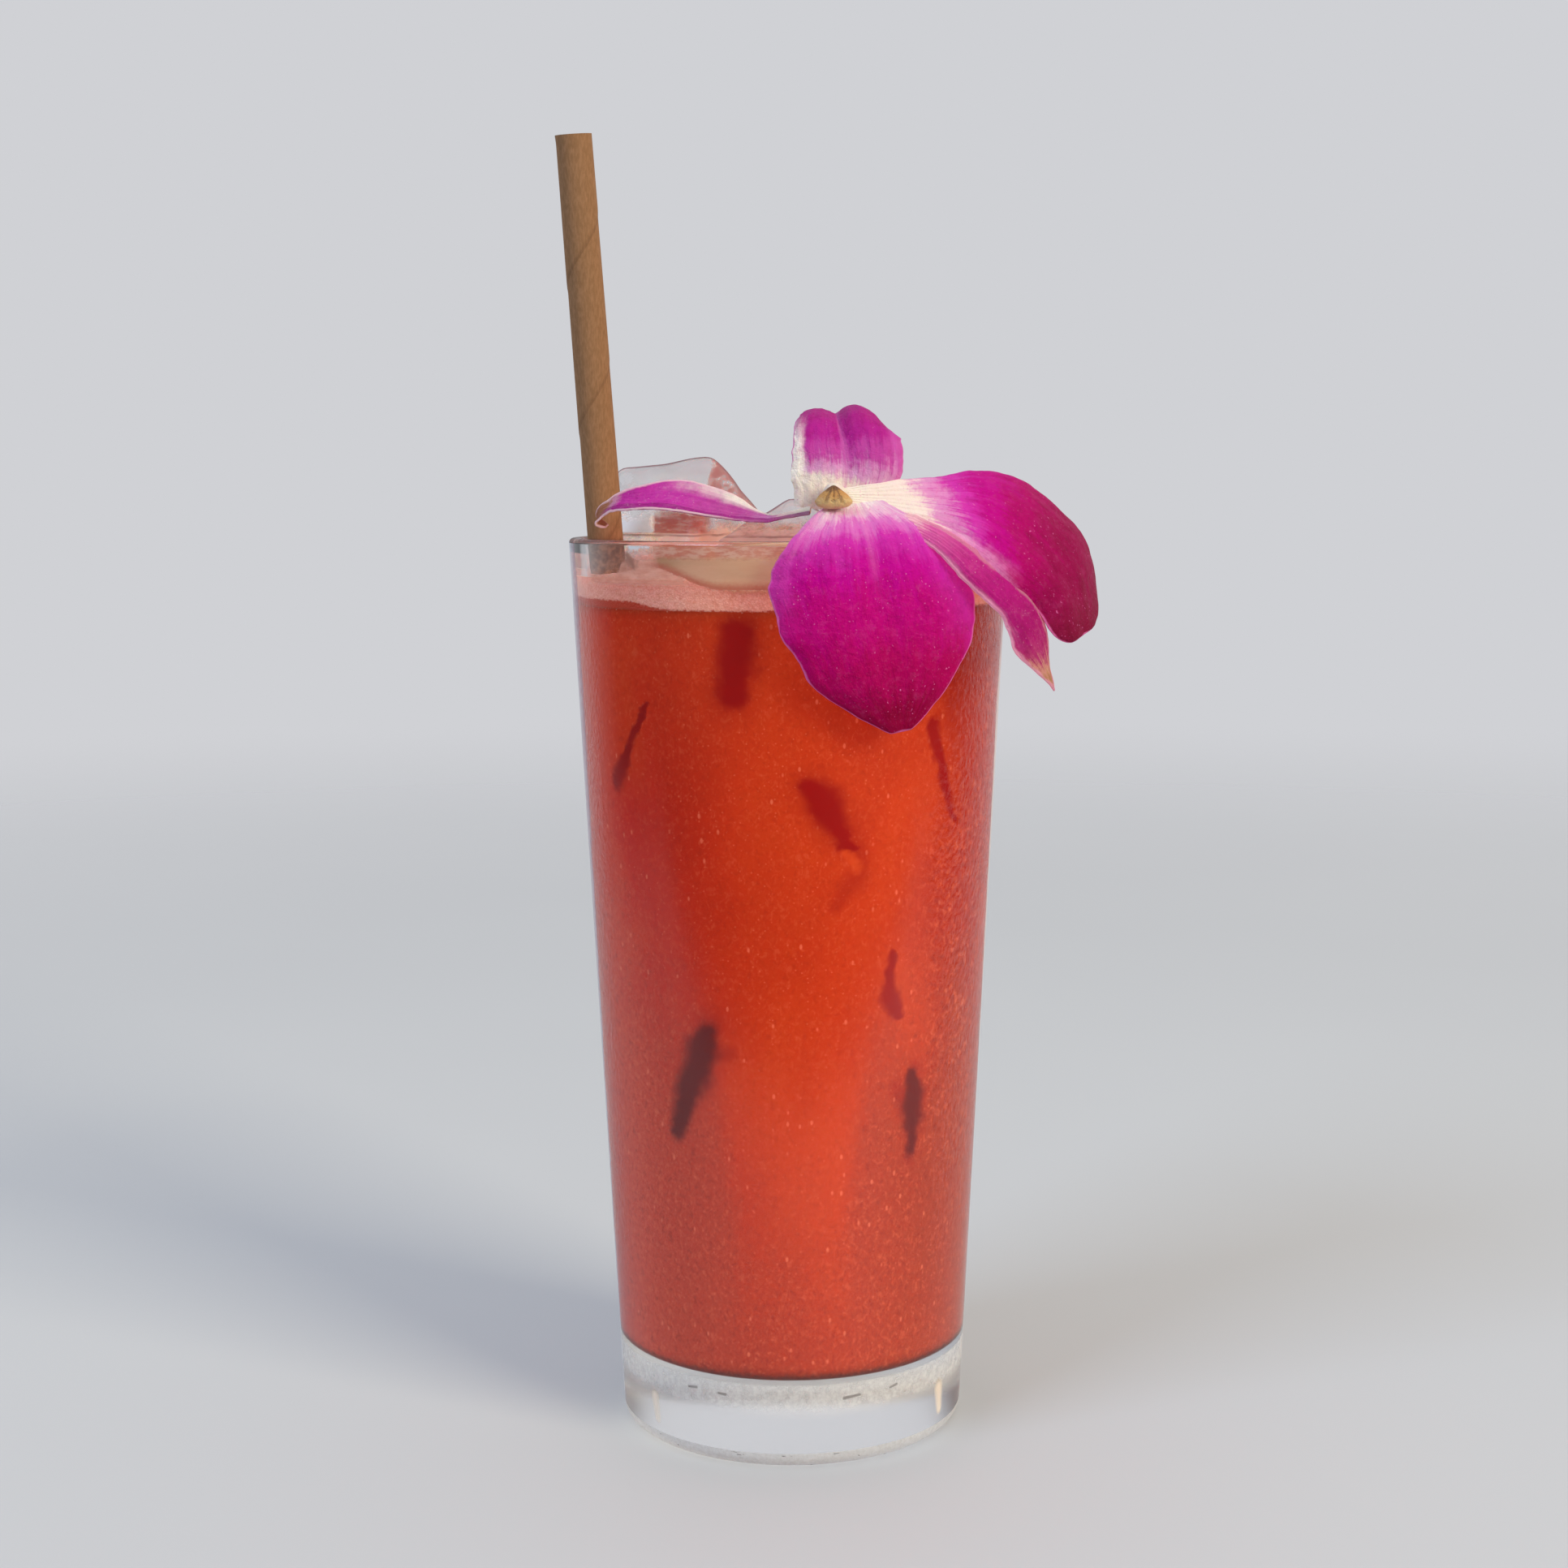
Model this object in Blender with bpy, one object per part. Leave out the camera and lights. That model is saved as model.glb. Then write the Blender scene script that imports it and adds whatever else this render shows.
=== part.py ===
"""Strawberry lemonade in a tall tapered glass, with ice, a paper straw and an orchid flower.

The driving dimensions are real sizes in millimetres, and MM turns them into metres.
The origin is the middle of the glass foot, on the surface that the glass stands on.
+Z is up, -Y is the front and +X is the right-hand side seen from the front.
"""
import math

import bmesh
import bpy
import numpy as np
from mathutils import Matrix, Vector

MM = 0.001
GAP = 0.3                  # clearance between neighbouring pieces

# The glass: a tapered tumbler with a heavy foot
GLASS_HEIGHT = 155.0
RIM_RADIUS = 37.6
FOOT_RADIUS = 29.9
FOOT_ROUNDING = 2.9
WALL = 2.2
RIM_ROUNDING = 0.8
FLOOR_LEVEL = 15.0         # top of the solid foot, where the drink begins
FLOOR_ROUNDING = 3.0
GLASS_SIDES = 64
ARC_STEPS = 4

# The drink and the froth on it
DRINK_LEVEL = 143.8
FROTH_LEVEL = 148.2
FROTH_CREEP = 0.5          # how far the froth climbs where it meets the wall
CREEP_WIDTH = 2.0

# The straw, from the middle of its lower end to the middle of its upper end
STRAW_DIAMETER = 6.0
STRAW_WALL = 0.5
STRAW_FOOT = (-22.5, 5.0, 16.6)
STRAW_TOP = (-34.8, -14.1, 220.6)
STRAW_SIDES = 32

# Ice blocks that stand out of the froth: the highest corner and the edges that leave it
ICE_ROUNDING = 2.6
ICE_ROUNDING_STEPS = 3
LARGE_ICE_CORNER = (-12.4, 0.0, 169.8)
LARGE_ICE_EDGES = ((-0.89, 0.44, -0.108), (0.425, 0.73, -0.535))
LARGE_ICE_SIZE = (19.0, 22.0, 20.0)
SMALL_ICE_CORNER = (0.4, -9.0, 163.0)
SMALL_ICE_EDGES = ((-0.69, -0.60, -0.40), (0.72, -0.606, -0.333))
SMALL_ICE_SIZE = (20.0, 20.0, 21.0)

# The orchid: column and its cap, then five tepals round it
COLUMN_FRONT = (6.6, -35.6, 162.3)
COLUMN_BACK = (8.0, -31.6, 161.6)
COLUMN_RADIUS = 1.5
COLUMN_PLACES = (0.0, 0.15, 0.6, 0.9, 1.0)       # shares of the way from front to back
COLUMN_SHAPE = (0.7, 0.95, 1.0, 0.95, 0.7)       # shares of the radius at those places
COLUMN_SIDES = 16
CAP_CENTRE = (7.0, -37.4, 161.9)
CAP_WIDTH = 7.0
CAP_HEIGHT = 3.2
CAP_DEPTH = 3.0
CAP_NARROWING = 0.75       # how much narrower and shallower the cap is at its top
CAP_FLATTENING = 0.4

TEPAL_THICKNESS = 0.8
TEPAL_EDGE = 0.45          # share of the thickness that is left at a tepal's edge
TEPAL_ROWS = 17
TEPAL_COLUMNS = 9
TIP_REACH = 0.99           # how far the rounding of the tip runs before the edge is cut

# Each tepal follows a spine through a few points. Its half-widths on the two sides of the midrib,
# its roll about the spine in degrees, how far its edges turn towards its face, and how high the
# lobe on each side stands are given at evenly spaced places from base to tip. A larger tip value
# makes a blunter end, and ripple and waves set the wave that runs along the edges.
TEPALS = {
    "orchid_sepal_upper": dict(
        spine=((8.4, -30.0, 159.6), (9.2, -30.8, 166.4), (8.2, -27.5, 172.6), (7.7, -19.0, 175.0),
               (8.0, -11.5, 173.0)),
        across=(-1.0, 0.0, 0.0), roll=(0.0, 0.0),
        left=(5.0, 8.5, 9.5, 8.5, 7.0, 4.0), right=(7.5, 8.5, 7.5, 6.0, 5.0, 4.0),
        turn_left=(-1.4, -1.6, -3.4, -4.0), turn_right=(0.0, 0.0, 0.8, 0.0),
        lobe_left=(0.3, 1.0, 2.8, 1.6), lobe_right=(0.3, 0.6, 1.1, 0.8),
        tip=6.0, ripple=0.0, waves=2.0),
    "orchid_petal_front": dict(
        spine=((11.0, -34.6, 159.6), (12.5, -38.8, 155.3), (13.9, -39.7, 146.6), (15.9, -39.5, 135.2),
               (17.6, -37.5, 125.0)),
        across=(0.96, 0.2, 0.0), roll=(0.0, 0.0),
        left=(3.0, 11.5, 16.5, 16.0, 13.0, 6.5), right=(3.5, 10.0, 13.5, 16.0, 13.5, 7.0),
        turn_left=(-0.5, -3.2, -2.4), turn_right=(-0.5, -1.8, -1.6),
        lobe_left=(0.2, 0.7, 0.2), lobe_right=(0.2, 0.7, 0.2),
        tip=6.0, ripple=0.4, waves=2.0),
    "orchid_petal_right": dict(
        spine=((12.0, -32.9, 162.0), (23.5, -31.5, 160.8), (33.1, -30.0, 158.3), (43.5, -28.5, 149.0),
               (47.6, -28.0, 139.7)),
        across=(0.0, 0.8, 0.6), roll=(30.0, 8.0, 10.0, 20.0),
        left=(0.8, 3.6, 7.5, 9.2, 7.2, 9.2), right=(1.0, 5.0, 10.5, 16.5, 18.0, 12.0),
        turn_left=(-0.5, -2.5, -2.5), turn_right=(-0.5, -2.5, -2.5),
        lobe_left=(0.2, 0.7, 0.4), lobe_right=(0.2, 0.7, 0.4),
        tip=14.0, ripple=0.6, waves=2.0),
    "orchid_sepal_right": dict(
        spine=((14.9, -32.5, 158.9), (23.5, -32.8, 155.4), (31.0, -30.6, 148.5), (38.2, -28.0, 141.0),
               (42.4, -26.0, 131.0)),
        across=(0.3, 0.5, 0.7), roll=(0.0, 0.0),
        left=(0.9, 1.5, 2.4, 2.4, 3.6, 0.8), right=(0.9, 1.5, 2.2, 3.4, 5.5, 4.5),
        turn_left=(-0.5, -1.0, -0.5), turn_right=(-0.5, -1.0, -0.5),
        lobe_left=(0.1, 0.3, 0.1), lobe_right=(0.1, 0.3, 0.1),
        tip=9.0, ripple=0.3, waves=2.0),
    "orchid_sepal_left": dict(
        spine=((3.4, -33.5, 160.2), (-3.5, -31.5, 159.3), (-11.0, -29.0, 159.6), (-19.0, -25.7, 160.9),
               (-26.0, -23.0, 161.4), (-30.6, -21.5, 160.6), (-31.9, -21.0, 158.8), (-30.4, -21.0, 157.4)),
        across=(0.0, -0.85, -0.5), roll=(0.0, 0.0),
        left=(1.0, 1.2, 2.0, 3.6, 3.8, 2.4, 2.0, 1.6), right=(1.0, 1.5, 2.0, 3.0, 4.0, 3.0, 2.2, 1.8),
        turn_left=(0.2, 1.2, 1.6, 0.4), turn_right=(0.2, 0.8, 0.8, 0.2),
        lobe_left=(0.0, 0.0), lobe_right=(0.0, 0.0),
        tip=10.0, ripple=0.0, waves=2.0),
}

# Colours of the plain materials
GLASS_COLOUR = (0.90, 0.93, 0.93)
DRINK_COLOUR = (0.58, 0.05, 0.02)
FROTH_COLOUR = (0.66, 0.28, 0.21)
STRAW_COLOUR = (0.30, 0.15, 0.07)
ICE_COLOUR = (0.85, 0.88, 0.90)
TEPAL_COLOUR = (0.52, 0.01, 0.25)
COLUMN_COLOUR = (0.85, 0.80, 0.68)
CAP_COLOUR = (0.60, 0.36, 0.12)


def remove_everything():
    """Start from an empty scene."""
    for thing in list(bpy.data.objects):
        bpy.data.objects.remove(thing)


def plain_material(name, colour, roughness, metallic=0.0):
    """A Principled material with one colour."""
    material = bpy.data.materials.new(name)
    material.use_nodes = True
    shader = material.node_tree.nodes["Principled BSDF"]
    shader.inputs["Base Color"].default_value = (*colour, 1.0)
    shader.inputs["Roughness"].default_value = roughness
    shader.inputs["Metallic"].default_value = metallic
    return material


def add_object(name, mesh_builder, material, sharp_angle=40.0):
    """Turn a bmesh into a named, smooth-shaded object of the scene."""
    bmesh.ops.recalc_face_normals(mesh_builder, faces=mesh_builder.faces)
    mesh = bpy.data.meshes.new(name)
    mesh_builder.to_mesh(mesh)
    mesh_builder.free()
    mesh.materials.append(material)
    mesh.shade_smooth()
    mesh.set_sharp_from_angle(angle=math.radians(sharp_angle))
    thing = bpy.data.objects.new(name, mesh)
    bpy.context.scene.collection.objects.link(thing)
    return thing


def arc(centre, radius, start, end, steps=ARC_STEPS):
    """Points of a round stretch of a turned profile, angles in degrees."""
    angles = np.radians(np.linspace(start, end, steps + 1))
    return [(centre[0] + radius * math.cos(a), centre[1] + radius * math.sin(a)) for a in angles]


def turned(name, profile, material, sides=GLASS_SIDES, closed=False):
    """Spin a profile of (radius, height) points in millimetres round the Z axis."""
    builder = bmesh.new()
    points = [builder.verts.new((radius * MM, 0.0, height * MM)) for radius, height in profile]
    edges = [builder.edges.new(pair) for pair in zip(points, points[1:])]
    if closed:
        edges.append(builder.edges.new((points[-1], points[0])))
    bmesh.ops.spin(builder, geom=points + edges, axis=(0, 0, 1), cent=(0, 0, 0),
                   angle=2 * math.pi, steps=sides, use_merge=True)
    bmesh.ops.remove_doubles(builder, verts=builder.verts, dist=0.001 * MM)
    return add_object(name, builder, material)


def outer_radius(height):
    """Radius of the outside of the glass wall at a height above the rounded foot."""
    share = (height - FOOT_ROUNDING) / (GLASS_HEIGHT - FOOT_ROUNDING)
    return FOOT_RADIUS + (RIM_RADIUS - FOOT_RADIUS) * share


def inner_radius(height):
    """Radius of the inside of the glass wall."""
    return outer_radius(height) - WALL


def make_glass():
    """Tapered wall on a thick solid foot, with a rounded rim."""
    foot = arc((FOOT_RADIUS - FOOT_ROUNDING, FOOT_ROUNDING), FOOT_ROUNDING, -90, 0)
    rim_level = GLASS_HEIGHT - RIM_ROUNDING
    outer_rim = arc((outer_radius(rim_level) - RIM_ROUNDING, rim_level), RIM_ROUNDING, 0, 90, 3)
    inner_rim = arc((inner_radius(rim_level) + RIM_ROUNDING, rim_level), RIM_ROUNDING, 90, 180, 3)
    corner_level = FLOOR_LEVEL + FLOOR_ROUNDING
    corner = arc((inner_radius(corner_level) - FLOOR_ROUNDING, corner_level), FLOOR_ROUNDING, 0, -90)
    profile = [(0.0, 0.0), *foot, *outer_rim, *inner_rim, *corner, (0.0, FLOOR_LEVEL)]
    return turned("glass", profile, plain_material("glass", GLASS_COLOUR, 0.05))


def make_drink():
    """The lemonade, a solid from the floor of the glass up to the froth."""
    corner_level = FLOOR_LEVEL + FLOOR_ROUNDING
    centre = (inner_radius(corner_level) - FLOOR_ROUNDING, corner_level)
    corner = arc(centre, FLOOR_ROUNDING - GAP, -90, 0)
    top = inner_radius(DRINK_LEVEL) - GAP
    profile = [(0.0, FLOOR_LEVEL + GAP), *corner, (top, DRINK_LEVEL), (0.0, DRINK_LEVEL)]
    return turned("drink", profile, plain_material("drink", DRINK_COLOUR, 0.2))


def make_froth():
    """The pale layer of fine bubbles on the drink, a little higher at the wall."""
    bottom = DRINK_LEVEL + GAP
    edge = FROTH_LEVEL + FROTH_CREEP
    profile = [(0.0, bottom), (inner_radius(bottom) - GAP, bottom), (inner_radius(edge) - GAP, edge),
               (inner_radius(edge) - CREEP_WIDTH, FROTH_LEVEL), (0.0, FROTH_LEVEL)]
    return turned("froth", profile, plain_material("froth", FROTH_COLOUR, 0.5))


def stand_along(thing, start, end):
    """Place an object made round the Z axis so that it starts at one point and aims at another."""
    start, end = Vector(start) * MM, Vector(end) * MM
    thing.rotation_mode = "QUATERNION"
    thing.rotation_quaternion = Vector((0, 0, 1)).rotation_difference(end - start)
    thing.location = start


def make_straw(name, extra, material, hollow=True):
    """The paper straw, or the solid cutter that makes room for it."""
    length = (Vector(STRAW_TOP) - Vector(STRAW_FOOT)).length
    outer = STRAW_DIAMETER / 2 + extra
    if hollow:
        inner = STRAW_DIAMETER / 2 - STRAW_WALL
        profile = [(inner, 0.0), (outer, 0.0), (outer, length), (inner, length)]
    else:
        profile = [(0.0, -extra), (outer, -extra), (outer, length), (0.0, length)]
    straw = turned(name, profile, material, STRAW_SIDES, closed=hollow)
    stand_along(straw, STRAW_FOOT, STRAW_TOP)
    return straw


def ice_frame(edges):
    """Three square directions from the first two edge directions of a block."""
    first = Vector(edges[0]).normalized()
    second = (Vector(edges[1]) - first * first.dot(Vector(edges[1]))).normalized()
    third = first.cross(second)
    if third.z > 0:
        third = -third
    return first, second, third


def make_ice(name, corner, edges, size, extra, material):
    """A block of ice with melted, rounded edges, or the larger cutter that makes room for it."""
    directions = ice_frame(edges)
    middle = Vector(corner)
    for direction, length in zip(directions, size):
        middle += direction * length / 2
    builder = bmesh.new()
    bmesh.ops.create_cube(builder, size=1.0)
    bmesh.ops.scale(builder, vec=[(length + 2 * extra) * MM for length in size], verts=builder.verts)
    bmesh.ops.bevel(builder, geom=builder.edges, offset=(ICE_ROUNDING + extra) * MM, profile=0.5,
                    segments=ICE_ROUNDING_STEPS, affect="EDGES")
    turn = Matrix(directions).transposed()
    if turn.determinant() < 0:
        turn = turn @ Matrix.Diagonal((1, 1, -1))
    block = add_object(name, builder, material)
    block.matrix_world = Matrix.Translation(middle * MM) @ turn.to_4x4()
    return block


def cut(thing, cutters):
    """Take the cutters out of a solid."""
    for cutter in cutters:
        cutter.hide_render = True
        cutter.display_type = "WIRE"
        difference = thing.modifiers.new("room_for_" + cutter.name, "BOOLEAN")
        difference.operation = "DIFFERENCE"
        difference.object = cutter


def smooth(values, shares):
    """Values given at evenly spaced places, joined by a smooth curve and read at the shares."""
    values = np.asarray(values, float)
    spans = len(values) - 1
    place = np.clip(np.asarray(shares, float) * spans, 0, spans - 1e-9)
    index = place.astype(int)
    f = place - index
    padded = np.concatenate([[2 * values[0] - values[1]], values, [2 * values[-1] - values[-2]]])
    before, start, end, after = (padded[index + k] for k in range(4))
    return 0.5 * (2 * start + (end - before) * f + (2 * before - 5 * start + 4 * end - after) * f ** 2
                  + (3 * start - before - 3 * end + after) * f ** 3)


def unit(vectors):
    """Vectors scaled to length one."""
    return vectors / np.linalg.norm(vectors, axis=-1, keepdims=True)


def tepal_surface(shape):
    """Middle surface of a tepal: a grid of points in millimetres, and its normals."""
    shares = np.linspace(0.0, 1.0, TEPAL_ROWS)
    spine = np.stack([smooth(values, shares) for values in zip(*shape["spine"])], axis=1)
    step = 1e-3
    ahead = np.stack([smooth(values, np.minimum(shares + step, 1.0)) for values in zip(*shape["spine"])], 1)
    behind = np.stack([smooth(values, np.maximum(shares - step, 0.0)) for values in zip(*shape["spine"])], 1)
    along = unit(ahead - behind)
    across = np.asarray(shape["across"], float)
    across = unit(across - (along @ across)[:, None] * along)
    face = np.cross(along, across)
    roll = np.radians(smooth(shape["roll"], shares))[:, None]
    sideways = across * np.cos(roll) + face * np.sin(roll)
    outward = face * np.cos(roll) - across * np.sin(roll)
    rounding = np.sqrt(1.0 - (TIP_REACH * shares) ** shape["tip"])
    half = {side: smooth(shape[side], shares) * rounding for side in ("left", "right")}
    fullness = (half["left"] + half["right"]) / (half["left"] + half["right"]).max()
    grid = np.zeros((TEPAL_ROWS, TEPAL_COLUMNS, 3))
    for column, v in enumerate(np.linspace(-1.0, 1.0, TEPAL_COLUMNS)):
        side = "right" if v > 0 else "left"
        phase = 1.3 if v > 0 else 0.0
        rise = smooth(shape["turn_" + side], shares) * v * v
        rise += smooth(shape["lobe_" + side], shares) * math.sin(math.pi * abs(v))
        rise += shape["ripple"] * abs(v) ** 3 * np.sin(2 * math.pi * shape["waves"] * shares + phase)
        grid[:, column] = spine + sideways * (half[side] * v)[:, None] + outward * (rise * fullness)[:, None]
    down = np.gradient(grid, axis=0)
    over = np.gradient(grid, axis=1)
    return grid, unit(np.cross(down, over))


def make_tepal(name, shape, material):
    """A thin wavy solid, thinner at its edges, with both faces split into triangles alike."""
    grid, normals = tepal_surface(shape)
    v = np.linspace(-1.0, 1.0, TEPAL_COLUMNS)
    thickness = TEPAL_THICKNESS * (1.0 - (1.0 - TEPAL_EDGE) * v ** 4)
    offset = normals * (thickness / 2)[None, :, None]
    builder = bmesh.new()
    sheets = []
    for points in (grid + offset, grid - offset):
        sheets.append([[builder.verts.new(Vector(point) * MM) for point in row] for row in points])
    for row in range(TEPAL_ROWS - 1):
        for column in range(TEPAL_COLUMNS - 1):
            for sheet in sheets:
                corners = (sheet[row][column], sheet[row + 1][column],
                           sheet[row + 1][column + 1], sheet[row][column + 1])
                builder.faces.new((corners[0], corners[1], corners[2]))
                builder.faces.new((corners[0], corners[2], corners[3]))
    close_rim(builder, sheets)
    return add_object(name, builder, material)


def close_rim(builder, sheets):
    """Join the borders of a tepal's two faces with a strip."""
    upper, lower = sheets
    border = [(0, column) for column in range(TEPAL_COLUMNS)]
    border += [(row, TEPAL_COLUMNS - 1) for row in range(1, TEPAL_ROWS)]
    border += [(TEPAL_ROWS - 1, column) for column in range(TEPAL_COLUMNS - 2, -1, -1)]
    border += [(row, 0) for row in range(TEPAL_ROWS - 2, 0, -1)]
    for (row, column), (next_row, next_column) in zip(border, border[1:] + border[:1]):
        builder.faces.new((upper[row][column], upper[next_row][next_column], lower[next_row][next_column]))
        builder.faces.new((upper[row][column], lower[next_row][next_column], lower[row][column]))


def tube_solid(name, centres, radii, sides, material):
    """A closed round solid along a line of centres, each ring square to the line."""
    builder = bmesh.new()
    centres = [Vector(centre) for centre in centres]
    rings = []
    for index, (centre, radius) in enumerate(zip(centres, radii)):
        before = centres[max(index - 1, 0)]
        after = centres[min(index + 1, len(centres) - 1)]
        turn = Vector((0, 0, 1)).rotation_difference(after - before)
        ring = []
        for side in range(sides):
            angle = 2 * math.pi * side / sides
            spoke = Vector((math.cos(angle), math.sin(angle), 0.0)) * radius
            ring.append(builder.verts.new((centre + turn @ spoke) * MM))
        rings.append(ring)
    for ring, following in zip(rings, rings[1:]):
        for side in range(sides):
            after = (side + 1) % sides
            builder.faces.new((ring[side], ring[after], following[after], following[side]))
    builder.faces.new(rings[0][::-1])
    builder.faces.new(rings[-1])
    return add_object(name, builder, material)


def make_column():
    """The short white column in the middle of the flower."""
    front, back = Vector(COLUMN_FRONT), Vector(COLUMN_BACK)
    centres = [front.lerp(back, share) for share in COLUMN_PLACES]
    radii = [COLUMN_RADIUS * share for share in COLUMN_SHAPE]
    return tube_solid("orchid_column", centres, radii, COLUMN_SIDES,
                      plain_material("orchid_column", COLUMN_COLOUR, 0.5))


def make_cap():
    """The small three-sided cap on the front of the column."""
    builder = bmesh.new()
    bmesh.ops.create_icosphere(builder, subdivisions=2, radius=0.5)
    for point in builder.verts:
        height = point.co.z + 0.5
        width = CAP_WIDTH * (1.0 - CAP_NARROWING * height)
        depth = CAP_DEPTH * (1.0 - CAP_FLATTENING * height)
        point.co = Vector((point.co.x * width, point.co.y * depth, point.co.z * CAP_HEIGHT)) * MM
    cap = add_object("orchid_cap", builder, plain_material("orchid_cap", CAP_COLOUR, 0.5))
    cap.location = Vector(CAP_CENTRE) * MM
    return cap


def main():
    """Build every piece."""
    remove_everything()
    make_glass()
    drink = make_drink()
    froth = make_froth()
    straw_material = plain_material("straw", STRAW_COLOUR, 0.8)
    ice_material = plain_material("ice", ICE_COLOUR, 0.08)
    make_straw("straw", 0.0, straw_material)
    cutters = [make_straw("straw_room", GAP, straw_material, hollow=False)]
    blocks = {"ice_large": (LARGE_ICE_CORNER, LARGE_ICE_EDGES, LARGE_ICE_SIZE),
              "ice_small": (SMALL_ICE_CORNER, SMALL_ICE_EDGES, SMALL_ICE_SIZE)}
    for name, block in blocks.items():
        make_ice(name, *block, 0.0, ice_material)
        cutters.append(make_ice(name + "_room", *block, GAP, ice_material))
    cut(drink, cutters)
    cut(froth, cutters)
    make_column()
    make_cap()
    tepal_material = plain_material("orchid_tepal", TEPAL_COLOUR, 0.45)
    for name, shape in TEPALS.items():
        make_tepal(name, shape, tepal_material)


main()
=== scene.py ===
"""Strawberry lemonade in a tall glass: the fine surfaces, materials, light and camera."""

import math

import bmesh
import bpy
import numpy as np
from mathutils import Matrix, Vector, noise


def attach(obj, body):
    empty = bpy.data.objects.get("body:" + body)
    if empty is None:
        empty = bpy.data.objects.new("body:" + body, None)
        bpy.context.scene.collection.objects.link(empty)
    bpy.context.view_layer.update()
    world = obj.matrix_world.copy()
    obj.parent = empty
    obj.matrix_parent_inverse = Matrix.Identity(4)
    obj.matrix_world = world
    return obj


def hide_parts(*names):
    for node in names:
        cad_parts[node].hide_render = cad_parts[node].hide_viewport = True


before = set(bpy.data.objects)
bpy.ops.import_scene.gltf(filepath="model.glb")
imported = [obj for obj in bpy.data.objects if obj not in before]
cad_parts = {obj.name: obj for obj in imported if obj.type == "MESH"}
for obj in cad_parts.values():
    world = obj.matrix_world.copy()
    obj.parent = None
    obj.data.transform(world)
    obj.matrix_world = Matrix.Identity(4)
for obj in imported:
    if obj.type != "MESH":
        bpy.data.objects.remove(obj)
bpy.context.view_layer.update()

MM = 0.001
BODY = "root"

# The glass, the drink and the froth, as in the solids, in millimetres
GLASS_HEIGHT = 155
RIM_RADIUS = 37.6
FOOT_RADIUS = 29.9
FOOT_ROUNDING = 2.9
WALL = 2.2                 # thickness
RIM_ROUNDING = 0.8
FLOOR_LEVEL = 15
FLOOR_ROUNDING = 3
SIDES = 192
DRINK_LEVEL = 143.8
FROTH_LEVEL = 148.2
FROTH_SWELL = 0.25
FROTH_GRAIN = 0.12
FROTH_CREEP = 0.5          # up the wall
CREEP_WIDTH = 2
INTO_WALL = 0.12           # the filling reaches this far into the wall and the ice, so no air gap shows

STRAW_DIAMETER = 6
STRAW_WALL = 0.5
STRAW_FOOT = (-22.5, 5, 16.6)
STRAW_TOP = (-34.8, -14.1, 220.6)
STRAW_PITCH = 24           # height of one turn of the paper strip
PAPER_STEP = 0.10          # where a turn overlaps the last one
STEP_MIDDLE = 0.06         # so much of it is inside the straw's true radius
STEP_SHARE = 0.04          # of a turn, over which the step rises
STRAW_SIDES = 96
STRAW_RINGS = 260

ICE_ROUNDING = 2.6
ICE_SWELL = 0.035
ICE_BLOCKS = {             # a corner, two edges that leave it, and the lengths of all three
    "large": ((-12.4, 0, 169.8), ((-0.89, 0.44, -0.108), (0.425, 0.73, -0.535)), (20.5, 22, 20)),
    "small": ((0.4, -9, 163), ((-0.69, -0.60, -0.40), (0.72, -0.606, -0.333)), (20, 20, 21)),
}
ICE_STAINS = {"large": (-23.4, -12.5, 1), "small": (-40, -30, 0.15)}
FAR_RIM_SEEN = 155.65      # the height at which the far rim is seen through the ice

COLUMN_FRONT = (6.6, -35.6, 162.3)
COLUMN_BACK = (8, -31.6, 161.6)
COLUMN_RADIUS = 2.1
CAP_CENTRE = (7, -37.4, 161.9)
CAP_WIDTH = 8.2
CAP_HEIGHT = 3.7
CAP_DEPTH = 3

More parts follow.
